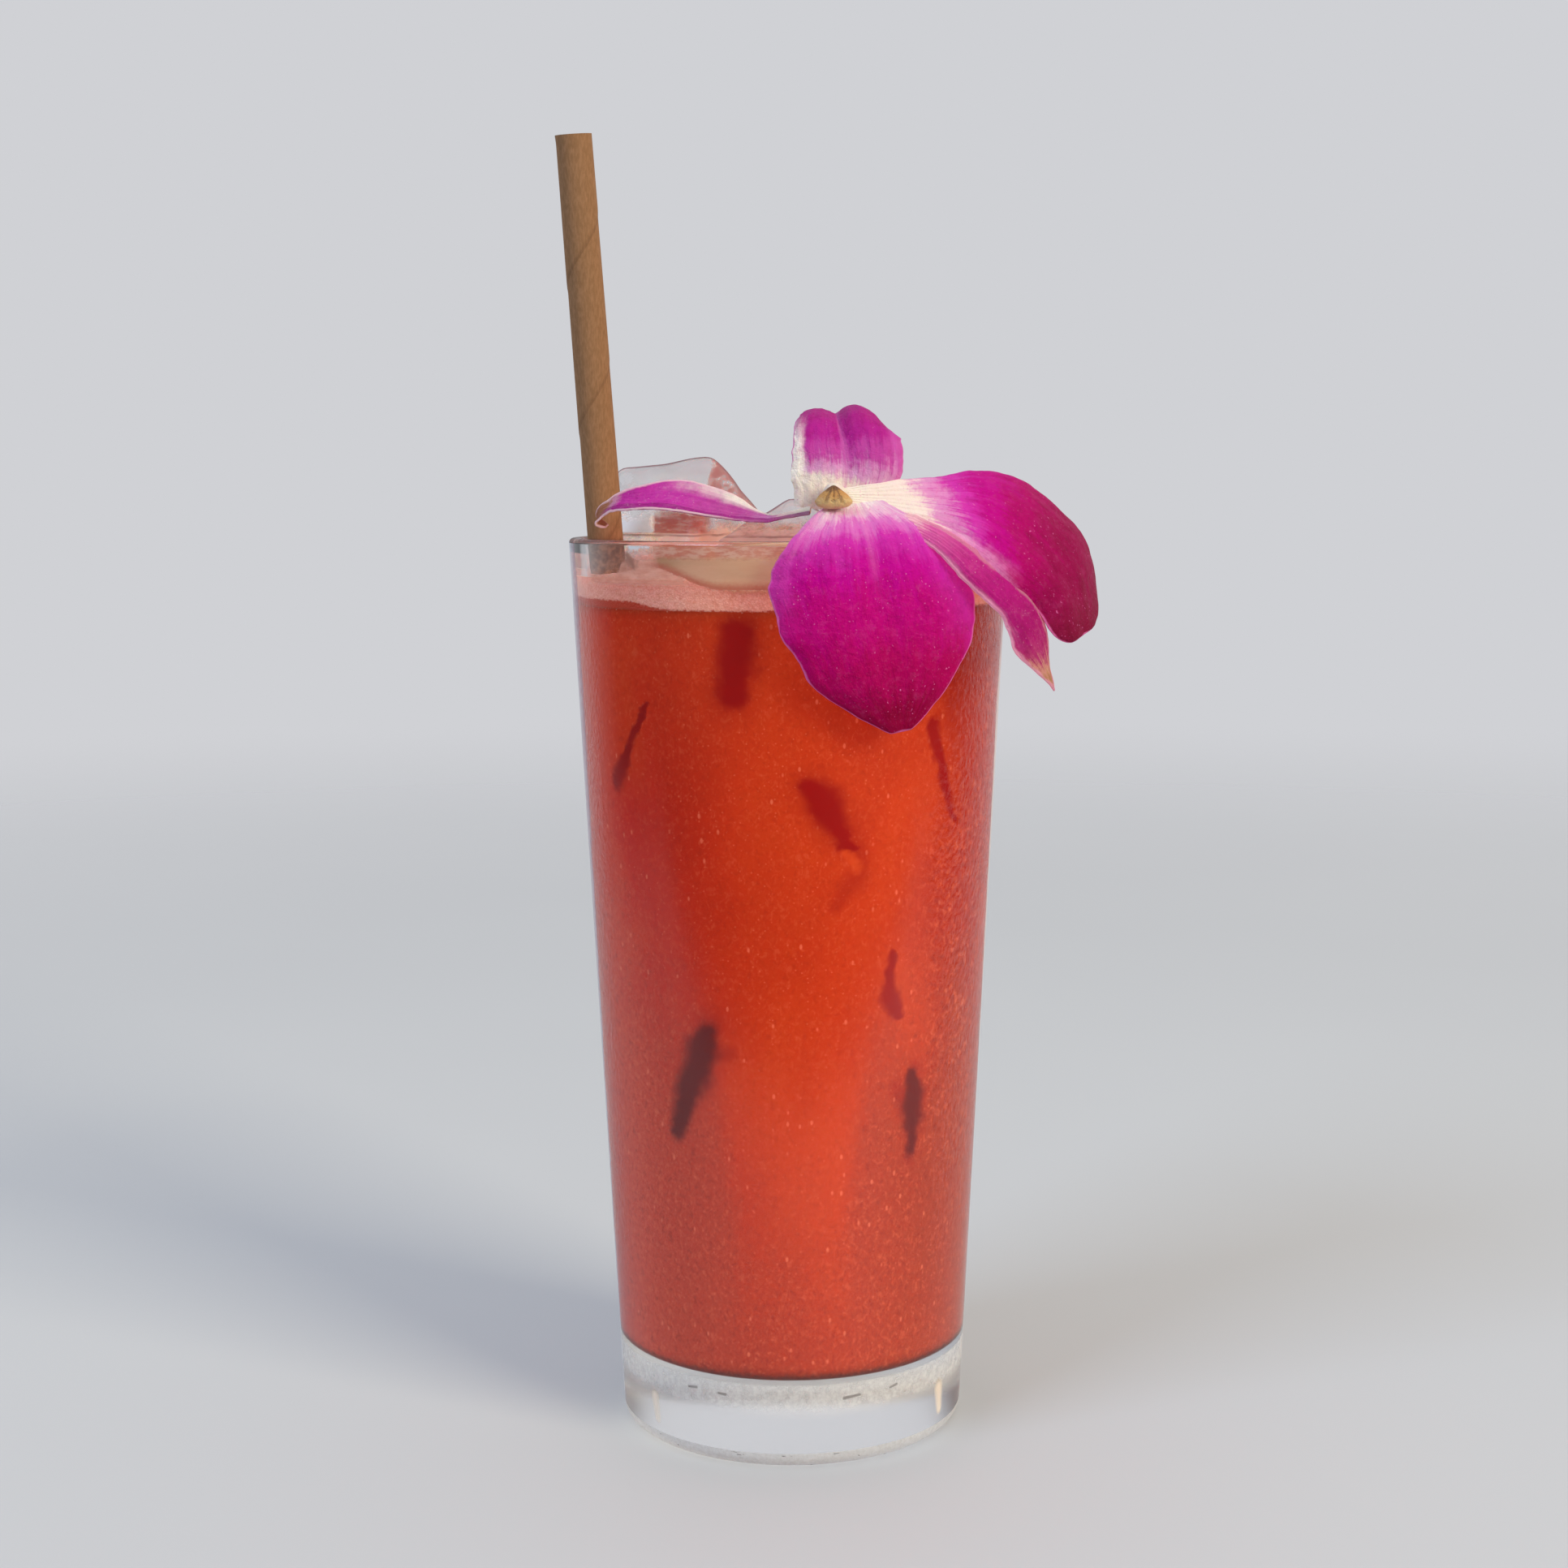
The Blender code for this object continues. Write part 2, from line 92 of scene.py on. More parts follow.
TEPAL_THICKNESS = 0.7
EDGE_SHARE = 0.25          # of the thickness, at the very edge
EDGE_REACH = 0.7           # how far in it grows
TEPAL_ROWS = 161
TEPAL_COLUMNS = 81
VEINS = 9
VEIN_RELIEF = 0.05
RIPPLE_WAVES = 2           # along a tepal's sides
TIP_REACH = 0.99           # how near to a point the last row comes
TEPALS = {
    "orchid_sepal_upper": dict(
        spine=((8.4, -30, 159.6), (9.2, -30.8, 166.4), (8.2, -27.5, 172.6), (7.7, -19, 175),
               (8, -11.5, 173)),
        across=(-1, 0, 0),
        left=(5, 8.5, 9.5, 8.5, 7, 4), right=(7.5, 8.8, 8.2, 6.5, 5, 4),
        reach=(0.9, 1, 0.9, 1, 1),
        turn_left=(-1.4, -1.6, -3.4, -4), turn_right=(0, 0, 0.8, 0),
        lobe_left=(0.3, 1, 2.8, 1.6), lobe_right=(0.3, 0.6, 1.1, 0.8),
        tip=6, ripple=0),
    "orchid_petal_front": dict(
        spine=((10.4, -34.6, 160.6), (12.5, -38.8, 155.3), (13.9, -39.7, 146.6), (15.9, -39.5, 135.2),
               (17.6, -37.5, 125)),
        across=(0.96, 0.2, 0),
        left=(6, 13.2, 16.5, 16, 13, 6.5), right=(5, 10.4, 13.5, 16, 13.5, 7),
        notches=((-1, 0.37, 0.03, 0.25), (-1, 0.50, 0.05, 0.5), (-1, 0.66, 0.05, 0.7), (1, 0.80, 0.06, 0.3)),
        turn_left=(-0.5, -3.2, -2.4), turn_right=(-0.5, -1.8, -1.6),
        lobe_left=(0.2, 0.7, 0.2), lobe_right=(0.2, 0.7, 0.2),
        tip=6, ripple=0.4),
    "orchid_petal_right": dict(
        spine=((8.2, -33.4, 162), (23.5, -31.5, 160.8), (33.1, -30, 158.3), (43.5, -28.5, 149),
               (47.6, -28, 139.7)),
        across=(0, 0.8, 0.6), roll=(30, 8, 10, 20),
        left=(1.2, 3.9, 7.5, 9.2, 7.2, 9.2), right=(1.2, 5.2, 10.5, 16.5, 18, 12),
        turn_left=(-0.5, -2.5, -2.5), turn_right=(-0.5, -2.5, -2.5),
        lobe_left=(0.2, 0.7, 0.4), lobe_right=(0.2, 0.7, 0.4),
        tip=14, ripple=0.6),
    "orchid_sepal_right": dict(
        spine=((13.4, -33.6, 160), (23.5, -36.6, 155.4), (31, -37, 148.5), (38.2, -35.2, 141),
               (42.4, -32.6, 131)),
        across=(0.3, 0.5, 0.7),
        left=(1.4, 1.8, 2.4, 2.6, 5, 0.5), right=(1.4, 2.2, 3.6, 5.2, 4.6, 0.5),
        notches=((1, 0.90, 0.05, 0.9), (1, 0.74, 0.03, 0.4), (-1, 0.62, 0.04, 0.4)),
        turn_left=(-0.5, -1, -0.5), turn_right=(-0.5, -1, -0.5),
        lobe_left=(0.1, 0.3, 0.1), lobe_right=(0.1, 0.3, 0.1),
        tip=9, ripple=0.3),
    "orchid_sepal_left": dict(
        spine=((3.4, -33.5, 159.8), (-3.5, -31.5, 158.6), (-11, -29, 159.4), (-19, -25.7, 160.9),
               (-25.6, -23, 161.2), (-29.4, -21.5, 160.2), (-31, -21, 158.4), (-29.6, -21, 157.2)),
        across=(0, -0.85, -0.5),
        left=(1, 1, 4.8, 5.2, 2.6, 1.5, 1.7, 1.4), right=(1, 1.2, 2.2, 3.2, 3.2, 2.2, 2.2, 1.8),
        turn_left=(0.2, 1.2, 1.6, 0.4), turn_right=(0.2, 0.8, 0.8, 0.2),
        lobe_left=(0, 0), lobe_right=(0, 0),
        tip=10, ripple=0),
}

# The camera, fitted to the outline of the glass
CAMERA_PLACE = (-0.949, -425.85, 164.41)
CAMERA_PITCH = 0.1221      # radians below the horizon
CAMERA_ROLL = -0.0043
CAMERA_LENS = 56.655
CAMERA_SENSOR = 36
FLOOR_REACH = 1500         # from the middle

# Colours as the eye sees them, 0 to 255
BACKDROP = (208, 209, 213)
# the drink's colours side to side are tuned to the lamps: the right is painted darker where the key lamp
# falls strongest
DRINK_LEFT = (202, 20, 0)
DRINK_MIDDLE = (192, 56, 10)
DRINK_RIGHT = (164, 32, 0)
DRINK_BRIGHT = (212, 76, 22)
DRINK_DEEP = (160, 22, 4)
# the drink where water film and a painted reflection of the pale floor make it paler
MIST_AND_REFLECTION_LEFT = (204, 72, 46)
MIST_AND_REFLECTION_MIDDLE = (175, 55, 29)
MIST_AND_REFLECTION_RIGHT = (161, 55, 24)
DRINK_GLOW = 0.75          # how much light spreads inside the drink
# painted highlight and shade of the dew's drops
DEW_HIGHLIGHT = (224, 108, 70)
DEW_SHADE = (132, 22, 6)
SPECK = (236, 128, 92)
MARK_RED = (148, 0, 0)
MARK_GREY = (96, 6, 6)
FROTH_PALE = (206, 134, 112)
PETAL_SHADE = (0.78, 0.60, 0.62)      # lamp light that comes through a petal
GLASS_SHADE = (0.96, 0.97, 0.97)      # and through the glass
FRONT_DIMNESS = 0.12       # the dim front of the studio, as a share of the backdrop


# Node trees

def linear(colour):
    """The linear colour that shaders use. One in whole numbers from 0 to 255 is as the eye sees it."""
    if not all(isinstance(part, int) for part in colour):
        return tuple(colour)
    shares = [part / 255 for part in colour]
    return tuple(c / 12.92 if c <= 0.04045 else ((c + 0.055) / 1.055) ** 2.4 for c in shares)


class Value:
    """What a node gives, with the signs of arithmetic for the nodes that follow.

    a | b is the greater of the two, which joins two shares of a surface.
    """

    def __init__(self, look, socket):
        self.look = look
        self.socket = socket

    def __add__(self, other):
        return self.look.math("ADD", self, other)

    def __sub__(self, other):
        return self.look.math("SUBTRACT", self, other)

    def __rsub__(self, other):
        return self.look.math("SUBTRACT", other, self)

    def __mul__(self, other):
        return self.look.math("MULTIPLY", self, other)

    def __truediv__(self, other):
        return self.look.math("DIVIDE", self, other)

    def __or__(self, other):
        return self.look.math("MAXIMUM", self, other)

    def __abs__(self):
        return self.look.math("ABSOLUTE", self)

    def step(self, start, end, low=0, high=1):
        """It goes smoothly from low, where this value is start, to high, where it is end."""
        return self.look.get("MapRange", {0: self, 1: start, 2: end, 3: low, 4: high},
                             interpolation_type="SMOOTHSTEP")

    def band(self, start, full, end_full, end):
        """1 from full to end_full, and fading to 0 at start and end."""
        return self.step(start, full) * self.step(end, end_full)

    def mix(self, a, b):
        """The colour a, and b in its place by this share."""
        return self.look.get("Mix", {0: self, 6: a, 7: b}, 2, data_type="RGBA")

    def stretch(self, *scale):
        return self.look.get("Mapping", {"Vector": self, "Scale": scale})

    def noise(self, scale, detail=2, roughness=0.5, distortion=0, output=0):
        return self.look.get("TexNoise", {"Vector": self, "Scale": scale, "Detail": detail,
                                          "Roughness": roughness, "Distortion": distortion}, output)

    def cells(self, scale):
        """The distance to the middle of the nearest cell, and that cell's own random colour."""
        node = self.look.node("TexVoronoi", {"Vector": self, "Scale": scale})
        return Value(self.look, node.outputs["Distance"]), Value(self.look, node.outputs["Color"])

    def drifted(self, scale, reach, detail=2, roughness=0.5):
        """Random shifts, for a vector."""
        shift = self.noise(scale, detail, roughness, output="Color")
        shift = self.look.vector_math("SUBTRACT", shift, (0.5, 0.5, 0.5))
        return self.look.vector_math("SCALE", shift, reach)


class Look:
    """A material and short ways to add nodes to it."""

    def __init__(self, name):
        self.material = bpy.data.materials.new(name)
        self.material.use_nodes = True
        self.tree = self.material.node_tree
        self.surface = self.tree.nodes["Principled BSDF"]
        self.plain = Value(self, self.surface.outputs[0])

    def put(self, socket, value):
        if isinstance(value, Value):
            self.tree.links.new(value.socket, socket)
        elif socket.type == "RGBA":
            socket.default_value = (*linear(value), 1)
        else:
            socket.default_value = value

    def set(self, **values):
        for key, value in values.items():
            self.put(self.surface.inputs[key.replace("_", " ")], value)

    def node(self, kind, inputs=None, **settings):
        node = self.tree.nodes.new("ShaderNode" + kind)
        for key, value in settings.items():
            setattr(node, key, value)
        for key, value in (inputs or {}).items():
            self.put(node.inputs[key], value)
        return node

    def get(self, kind, inputs=None, output=0, **settings):
        """One output of a new node."""
        return Value(self, self.node(kind, inputs, **settings).outputs[output])

    def math(self, operation, *values, clamp=False):
        return self.get("Math", dict(enumerate(values)), operation=operation, use_clamp=clamp)

    def vector_math(self, operation, a, b=(0, 0, 0)):
        second = "Scale" if operation == "SCALE" else 1
        output = "Value" if operation in ("LENGTH", "DOT_PRODUCT") else "Vector"
        return self.get("VectorMath", {0: a, second: b}, output, operation=operation)

    def ramp(self, value, stops):
        """A colour that runs through the stops: pairs of a place from 0 to 1 and a display colour."""
        node = self.node("ValToRGB", {0: value})
        ramp = node.color_ramp
        ramp.interpolation = "EASE"
        ramp.elements.remove(ramp.elements[1])
        for index, (place, colour) in enumerate(stops):
            element = ramp.elements[0] if index == 0 else ramp.elements.new(place)
            element.position = place
            element.color = (*linear(colour), 1)
        return Value(self, node.outputs[0])

    def bump(self, height, distance, strength=1):
        return self.get("Bump", {"Height": height, "Distance": distance, "Strength": strength})

    def place(self):
        """The point on the object, in millimetres."""
        return self.vector_math("SCALE", self.get("TexCoord", output="Object"), 1000)

    def parts(self, vector):
        return [Value(self, output) for output in self.node("SeparateXYZ", {0: vector}).outputs]

    def join(self, x, y, z=0):
        return self.get("CombineXYZ", {0: x, 1: y, 2: z})

    def round_glass(self):
        """The point on the object, its distance to the right, its height, and its angle from the front."""
        place = self.place()
        x, y, z = self.parts(place)
        return place, x, z, self.math("ARCTAN2", x, y * -1)

    def facing(self):
        """0 where the surface faces the eye, and 1 where it is seen edge on."""
        return self.get("LayerWeight", {"Blend": 0.5}, "Facing")

    def matt(self, colour):
        return self.get("BsdfDiffuse", {"Color": colour})

    def blend(self, share, first, second):
        """The first shader, and the second in its place by the share."""
        return self.get("MixShader", {0: share, 1: first, 2: second})

    def finish(self, shader, shade=None):
        """The finished material. With a shade, lamps shine through it in that colour, without caustics."""
        if shade:
            lamp = self.get("LightPath", output="Is Shadow Ray")
            shader = self.blend(lamp, shader, self.get("BsdfTransparent", {"Color": shade}))
        self.put(self.tree.nodes["Material Output"].inputs[0], shader)
        return self.material


# Meshes

def in_scene(name, data):
    thing = bpy.data.objects.new(name, data)
    bpy.context.scene.collection.objects.link(thing)
    return thing


def add_piece(name, mesh, materials, replaced, sharp=None):
    """Put a mesh in the scene as a piece that rides on the part and takes a node's place."""
    for material in materials:
        mesh.materials.append(material)
    mesh.shade_smooth()
    if sharp:
        mesh.set_sharp_from_angle(angle=math.radians(sharp))
    piece = in_scene(name, mesh)
    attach(piece, BODY)
    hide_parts(replaced)
    return piece


def mesh_of(name, points, faces):
    mesh = bpy.data.meshes.new(name)
    mesh.from_pydata([tuple(p) for p in np.asarray(points) * MM], [], faces)
    mesh.update()
    return mesh


def built(name, builder):
    mesh = bpy.data.meshes.new(name)
    builder.to_mesh(mesh)
    builder.free()
    return mesh


def arc(centre, radius, start, end, steps=10):
    angles = np.radians(np.linspace(start, end, steps + 1))
    return [(centre[0] + radius * math.cos(a), centre[1] + radius * math.sin(a)) for a in angles]


def turned(name, profile):
    """Spin a profile of (radius, height) points, whose ends are on the axis, round Z."""
    ring = np.radians(np.arange(SIDES) * 360 / SIDES)
    points, faces = [(0, 0, profile[0][1])], []
    for radius, height in profile[1:-1]:
        points += [(radius * x, -radius * y, height) for x, y in zip(np.sin(ring), np.cos(ring))]
    points.append((0, 0, profile[-1][1]))
    last_row = len(points) - 1 - SIDES
    for k in range(SIDES):
        following = (k + 1) % SIDES
        faces.append((0, 1 + following, 1 + k))
        for row in range(1, last_row, SIDES):
            faces.append((row + k, row + following, row + SIDES + following, row + SIDES + k))
        faces.append((len(points) - 1, last_row + k, last_row + following))
    return mesh_of(name, points, faces)


def outer_radius(height):
    share = (height - FOOT_ROUNDING) / (GLASS_HEIGHT - FOOT_ROUNDING)
    return FOOT_RADIUS + (RIM_RADIUS - FOOT_RADIUS) * share


def inner_radius(height):
    return outer_radius(height) - WALL


# The glass

def clear_glass(name, roughness=0):
    look = Look(name)
    look.set(Base_Color=(0.985, 0.99, 0.995), Roughness=roughness, IOR=1.5, Transmission_Weight=1)
    return look


def film_and_reflection_share(look, place, x, height):
    """How much water film and painted pale reflection cover the glass at a height in millimetres: most where
    it is seen edge on, at the sides.
    """
    wobble = place.stretch(1, 1, 0.35).noise(0.35, 4, 0.6) - 0.5
    edge = look.facing() + wobble * 0.10
    reach = height.step(20, 150, 0.89, 0.76) + x.step(-10, 10, 0, 0.06)
    return edge.step(reach, reach + 0.05) * 0.62


def foam_film(look, around, wall, marks, z):
    """Colour and share of what clings inside the wall from the froth up: foam, and ice against the glass."""
    streaks = wall.stretch(0.4, 1.3, 1).noise(1, 4, 0.65)
    level = wall.noise(1.6, 4, 0.7) - 0.5 + z
    foam = streaks.step(0.35, 0.65).mix((216, 142, 120), (234, 168, 146))
    top = around.step(-0.86, -0.78, 149.4, 152.2)
    share = z.step(147.6, 148.4) * level.step(top + 0.6, top - 0.6)
    share = share * around.band(-1.12, -1, -0.55, -0.35) * 0.72
    # pinkish ice behind the rim
    behind = around.band(-0.66, -0.58, 0.3, 0.5)
    upper = z.band(151.6, 152.4, 154.2, 154.7) * behind * streaks.step(0.2, 0.6, 0.55, 0.8)
    pink = streaks.step(0.60, 0.42).mix((212, 168, 150), (196, 120, 104))
    colour = upper.mix(foam, pink)
    # the smooth beige face of the ice, with a reddish lower edge
    low = around.step(-0.66, -0.28, 150.9, 147.2)
    face = level.step(low, low + 0.3) * level.step(152.9, 151.9) * behind * 0.86
    beige = around.step(-0.62, -0.42).mix((168, 134, 98), (206, 160, 128))
    beige = level.step(low + 1.8, low + 0.3).mix(beige, (178, 92, 72))
    colour = face.mix(colour, beige)
    share = share | upper | face
    # a bright patch and a dark one between the straw and the ice
    marks = look.vector_math("ADD", marks, wall.drifted(0.9, 2, 3))
    for table, tint in ((BRIGHT_PATCH, (232, 234, 240)), (DARK_PATCH, (150, 106, 90))):
        patch = strokes(look, marks, table, 0.7)
        colour = patch.mix(colour, tint)
        share = share | patch * 0.8
    return colour, share


def wet_glass_look():
    """The outside of the wall, with water film, fine drops and runs, and what shows through it, with painted
    pale reflections at its sides and painted shade and highlights at the foot.
    """
    look = clear_glass("lemonade_glass_wet")
    place, x, z, around = look.round_glass()
    wall = look.join(around * FILM_RADIUS, z)
    marks = look.join(around * WALL_RADIUS, z)
    # runs and drops at the sides
    right = around.band(0.62, 0.95, 1.35, 1.75) * z.band(24, 60, 138, 152)
    left = around.band(-2.2, -1.9, -1.15, -0.95) * z.band(24, 40, 141, 149)
    runs = wall.stretch(0.9, 0.55, 1).noise(1, 3, 0.6, 1.2)
    drops, _ = wall.stretch(1, 0.7, 1).cells(1.1)
    relief = (runs * 0.7 + drops * 0.3) * (right | left * 0.6)
    look.set(Roughness=z.step(147, 136, 0.02, 0.16), Normal=look.bump(relief, 0.00026))
    # the film's colour, painted pale grey where the glass is seen edge on, as a reflection at its sides
    edge = look.facing() + (place.noise(0.8, 3, 0.7) - 0.5) * 0.16
    film_and_reflection = look.ramp(edge, ((0, (190, 100, 88)), (0.64, (196, 116, 104)), (0.78, (186, 160, 168)),
                           (0.92, (222, 220, 224))))
    shader = look.blend(film_and_reflection_share(look, place, x, z), look.plain, look.matt(film_and_reflection))
    # light haze, a few dark dashes of painted shade and two painted warm highlights at the thick foot
    haze = z.band(8.5, 11.5, 14.6, 15.4) * wall.noise(0.6, 4, 0.7).step(0.3, 0.7, 0.25, 0.5)
    dashes = strokes(look, marks, FOOT_DASHES, 0.5) * 0.75
    glints = strokes(look, marks, FOOT_GLINTS, 0.8) * 0.6
    colour = glints.step(0, 0.3).mix((232, 228, 226), (255, 232, 208))
    colour = dashes.mix(colour, (56, 36, 34))
    shader = look.blend(haze | dashes | glints, shader, look.matt(colour))
    film, share = foam_film(look, around, wall, marks, z)
    return look.finish(look.blend(share, shader, look.matt(film)), GLASS_SHADE)


def foot_glass_look():
    """The rounded rim of the foot, frosted by wear, with a few dark nicks."""
    look = clear_glass("lemonade_glass_foot", 0.15)
    place = look.place()
    x, y, z = look.parts(place)
    around = look.math("ARCTAN2", x, y) * FOOT_RADIUS
    grain = place.noise(1.4, 4, 0.7)
    look.set(Normal=look.bump(grain, 0.0003, 0.5))
    nicks = look.join(around * 0.35, z * 1.4).noise(1, 3, 0.6)
    colour = grain.step(0.35, 0.65).mix((0.84, 0.83, 0.82), (0.95, 0.95, 0.95))
    colour = nicks.step(0.66, 0.72).mix(colour, (0.10, 0.07, 0.07))
    frost = look.blend(0.5, look.matt(colour), look.get("BsdfTranslucent", {"Color": colour}))
    return look.finish(look.blend(0.78, look.plain, frost), GLASS_SHADE)


def rim_glass_look():
    """The rounded rim: clear, with a thin dusky line of painted shade where it is seen edge on, as its curve
    would make.
    """
    look = clear_glass("lemonade_glass_rim")
    uneven = look.place().noise(0.25, 3, 0.6)
    share = look.facing().step(0.35, 0.75) * uneven.step(0.3, 0.6, 0.35, 0.75)
    return look.finish(look.blend(share, look.plain, look.matt((112, 92, 88))), GLASS_SHADE)


def make_glass():
    foot = arc((FOOT_RADIUS - FOOT_ROUNDING, FOOT_ROUNDING), FOOT_ROUNDING, -90, 0)
    rim_level = GLASS_HEIGHT - RIM_ROUNDING
    outer_rim = arc((outer_radius(rim_level) - RIM_ROUNDING, rim_level), RIM_ROUNDING, 0, 90, 6)
    inner_rim = arc((inner_radius(rim_level) + RIM_ROUNDING, rim_level), RIM_ROUNDING, 90, 180, 6)
    corner_level = FLOOR_LEVEL + FLOOR_ROUNDING
    corner = arc((inner_radius(corner_level) - FLOOR_ROUNDING, corner_level), FLOOR_ROUNDING, 0, -90)
    profile = [(0, 0), *foot, *outer_rim, *inner_rim, *corner, (0, FLOOR_LEVEL)]
    mesh = turned("lemonade_glass", profile)
    clear = clear_glass("lemonade_glass_clear")
    materials = [clear.finish(clear.plain, GLASS_SHADE), wet_glass_look(), foot_glass_look(),
                 rim_glass_look()]
    add_piece("lemonade_glass", mesh, materials, "glass")
    for face in mesh.polygons:
        height = face.center.z / MM
        out = Vector((face.center.x, face.center.y, 0)).length / MM
        if height > rim_level:
            face.material_index = 3
        elif height > FOOT_ROUNDING + 1 and out > outer_radius(height) - 0.5 * WALL:
            face.material_index = 1
        elif height < FOOT_ROUNDING and out > FOOT_RADIUS - FOOT_ROUNDING:
            face.material_index = 2


# The drink

# Dark places where sunk ice touches the wall. Each stroke is a line of points, given by the angle round
# the glass in degrees from the front, the height, and the half-width there.
RED_STROKES = (
    ((-14, 140.4, 2.7), (-14.2, 135.5, 3), (-15.2, 130.4, 2.2)),
    ((-41.4, 128.8, 0.5), (-44.1, 126.2, 0.7), (-50.6, 119.9, 1.1), (-54.1, 116.7, 1.7), (-55.5, 115.2, 1.6)),
    ((5.2, 115.6, 1.7), (9.2, 113.2, 3), (12.4, 109.6, 2.3), (14.4, 107, 1.2), (17.6, 105.6, 0.7)),
    ((41.9, 125, 1.2), (44.6, 119.6, 1.1), (47.8, 115, 1), (52.6, 108.5, 0.7)),
    ((30.4, 87.5, 0.7), (29.4, 80.7, 1.6), (31.2, 78.3, 1.5), (34.4, 76.8, 0.8)),
)
GREY_STROKES = (
    ((-25.2, 74.8, 1.8), (-27.2, 71.4, 2.9), (-31.6, 65.7, 2.5), (-36.8, 57.6, 1.6)),
    ((38.8, 66.6, 1.2), (39.8, 62.8, 2.3), (39.9, 58.2, 2), (39.4, 53.4, 0.9)),
)
FAINT_STROKES = (
    ((-24.7, 72.6, 2), (-18, 71.6, 1.2)),
    ((-25, 75.6, 2.6), (-28, 69, 3.2), (-36, 58.6, 1.8)),
    ((39.6, 68, 1.6), (40.4, 60.8, 2.2), (39, 52, 1)),
    ((6, 115.6, 3), (12.8, 109.4, 3.4), (20, 104.4, 1.6)),
    ((-12, 141.2, 3.2), (-16.2, 129.4, 3.4)),
    ((33, 65.4, 1.2), (37, 62.6, 2)),
    ((6.7, 111.5, 1), (10.3, 108.9, 1)),
    ((17.5, 106.8, 0.8), (20.2, 104.2, 1), (19.6, 101.4, 1.8), (17, 100.2, 1.8), (13, 96, 1)),
)
BRIGHT_STROKES = (((15.6, 104.6, 0.6), (18.4, 102.6, 0.9)),)
WALL_RADIUS = 33           # at which the angles above are laid out
FILM_RADIUS = 35           # and at which the film on the glass is

# How flat, fine, rare, large and strong the pale specks in the drink are
DRINK_SPECKS = ((0.55, 0.45, 0.35, 0.14, 0.50), (1, 1.05, 0.42, 0.19, 0.36), (0.4, 2.1, 0.45, 0.26, 0.14))

# What shows through the glass between the straw and the ice, and the painted dark dashes of shade and painted
# warm highlights at the foot, laid out in the same way
FOOT_DASHES = (((-35, 12.9, 0.22), (-32, 13.1, 0.25)), ((-24, 12.8, 0.2), (-21.6, 12.7, 0.25)),
               ((16.6, 12.3, 0.3), (21.8, 12.6, 0.22)), ((32.8, 12.8, 0.2), (35.4, 13.1, 0.25)))
FOOT_GLINTS = (((-51, 9, 1.1), (-50, 5.2, 0.8)), ((56.5, 9.4, 1.3), (57.5, 5.4, 0.8)))
BRIGHT_PATCH = (((-43, 154.3, 0.8), (-37.6, 154.4, 0.8)),)
DARK_PATCH = (((-44, 152.4, 0.9), (-42.6, 151.6, 1)),)


def strokes(look, wall, table, softness):
    """The share of the surface that soft strokes cover."""
    total = None
    for stroke in table:
        for (angle, height, radius), (other_angle, other_height, other_radius) in zip(stroke, stroke[1:]):
            start = Vector((math.radians(angle) * WALL_RADIUS, height, 0))
            line = Vector((math.radians(other_angle) * WALL_RADIUS, other_height, 0)) - start
            away = look.vector_math("SUBTRACT", wall, tuple(start))
            share = look.vector_math("DOT_PRODUCT", away, tuple(line / line.length_squared))
            share = look.math("MULTIPLY", share, 1, clamp=True)
            away = look.vector_math("SUBTRACT", away, look.vector_math("SCALE", tuple(line), share))
            far = look.vector_math("LENGTH", away) / (share * (other_radius - radius) + radius)
            part = far.step(1 + softness, 1 - softness)
            total = total | part if total else part
    return total


def mist_and_reflection_share(look, around, wall, z):
    """Where the drink is painted paler, low down and at the sides: water film on the glass, and a painted
    reflection of the pale floor.
    """
    aside = abs(around)
    rise = around.step(-0.3, 0.3, 26, 10)
    limit = aside.step(0.24, 0.46, 40, 70) + aside.step(0.42, 1.15, 0, rise)
    haze = wall.stretch(1, 0.55, 1).noise(0.10, 4, 0.6) - 0.5
    grain = wall.noise(0.8, 4, 0.75) - 0.5
    limit = limit + haze * 52 + grain * 40
    return z.step(limit + 16, limit - 24)


def specks(look, place, colour, flatness, scale, rarity, size, strength):
    """The colour with fine pale specks, which are drawn out upwards where flatness is below 1."""
    distance, own = place.stretch(1, 1, flatness).cells(scale)
    chosen = look.parts(own)[0].step(rarity, rarity + 0.1)
    return (distance.step(size, size * 0.5) * chosen * strength).mix(colour, SPECK)


def drink_colours(look, place, z, around, wall):
    """The colour of the drink without its marks, and how far it is misted and painted paler with the floor's
    reflection.
    """
    # side to side, painted shade that evens out the lamps: deeper red at the left, darker at the right, where
    # the key lamp falls strongest
    colour = around.step(-1.1, 0.1).mix(DRINK_LEFT, DRINK_MIDDLE)
    colour = around.step(0.3, 1.2).mix(colour, DRINK_RIGHT)
    back = abs(around).step(1.5, 3)
    colour = back.mix(colour, DRINK_MIDDLE)
    # painted light: the upper left is lightened where the petals shade it
    upper = z.step(105, 140, 0, 0.30) * around.step(0.1, -0.4) * around.step(-2.4, -1.4)
    colour = upper.mix(colour, DRINK_BRIGHT)
    cloud = place.stretch(1, 1, 0.6).noise(0.05, 3, 0.5)
    colour = cloud.step(0.45, 0.62, 0, 0.30).mix(colour, DRINK_BRIGHT)
    colour = cloud.step(0.48, 0.32, 0, 0.20).mix(colour, DRINK_DEEP)
    mottle = wall.noise(1.6, 3, 0.7)
    # water film, and a painted reflection of the pale floor, make the drink paler low down and at the sides
    misted_and_reflected = mist_and_reflection_share(look, around, wall, z) * mottle.step(0.25, 0.65, 0.55, 1)
    mist_and_reflection = around.step(-1, -0.1).mix(MIST_AND_REFLECTION_LEFT, MIST_AND_REFLECTION_MIDDLE)
    mist_and_reflection = around.step(0.2, 0.9).mix(mist_and_reflection, MIST_AND_REFLECTION_RIGHT)
    mist_and_reflection = back.mix(mist_and_reflection, MIST_AND_REFLECTION_MIDDLE)
    return misted_and_reflected.mix(colour, mist_and_reflection), misted_and_reflected


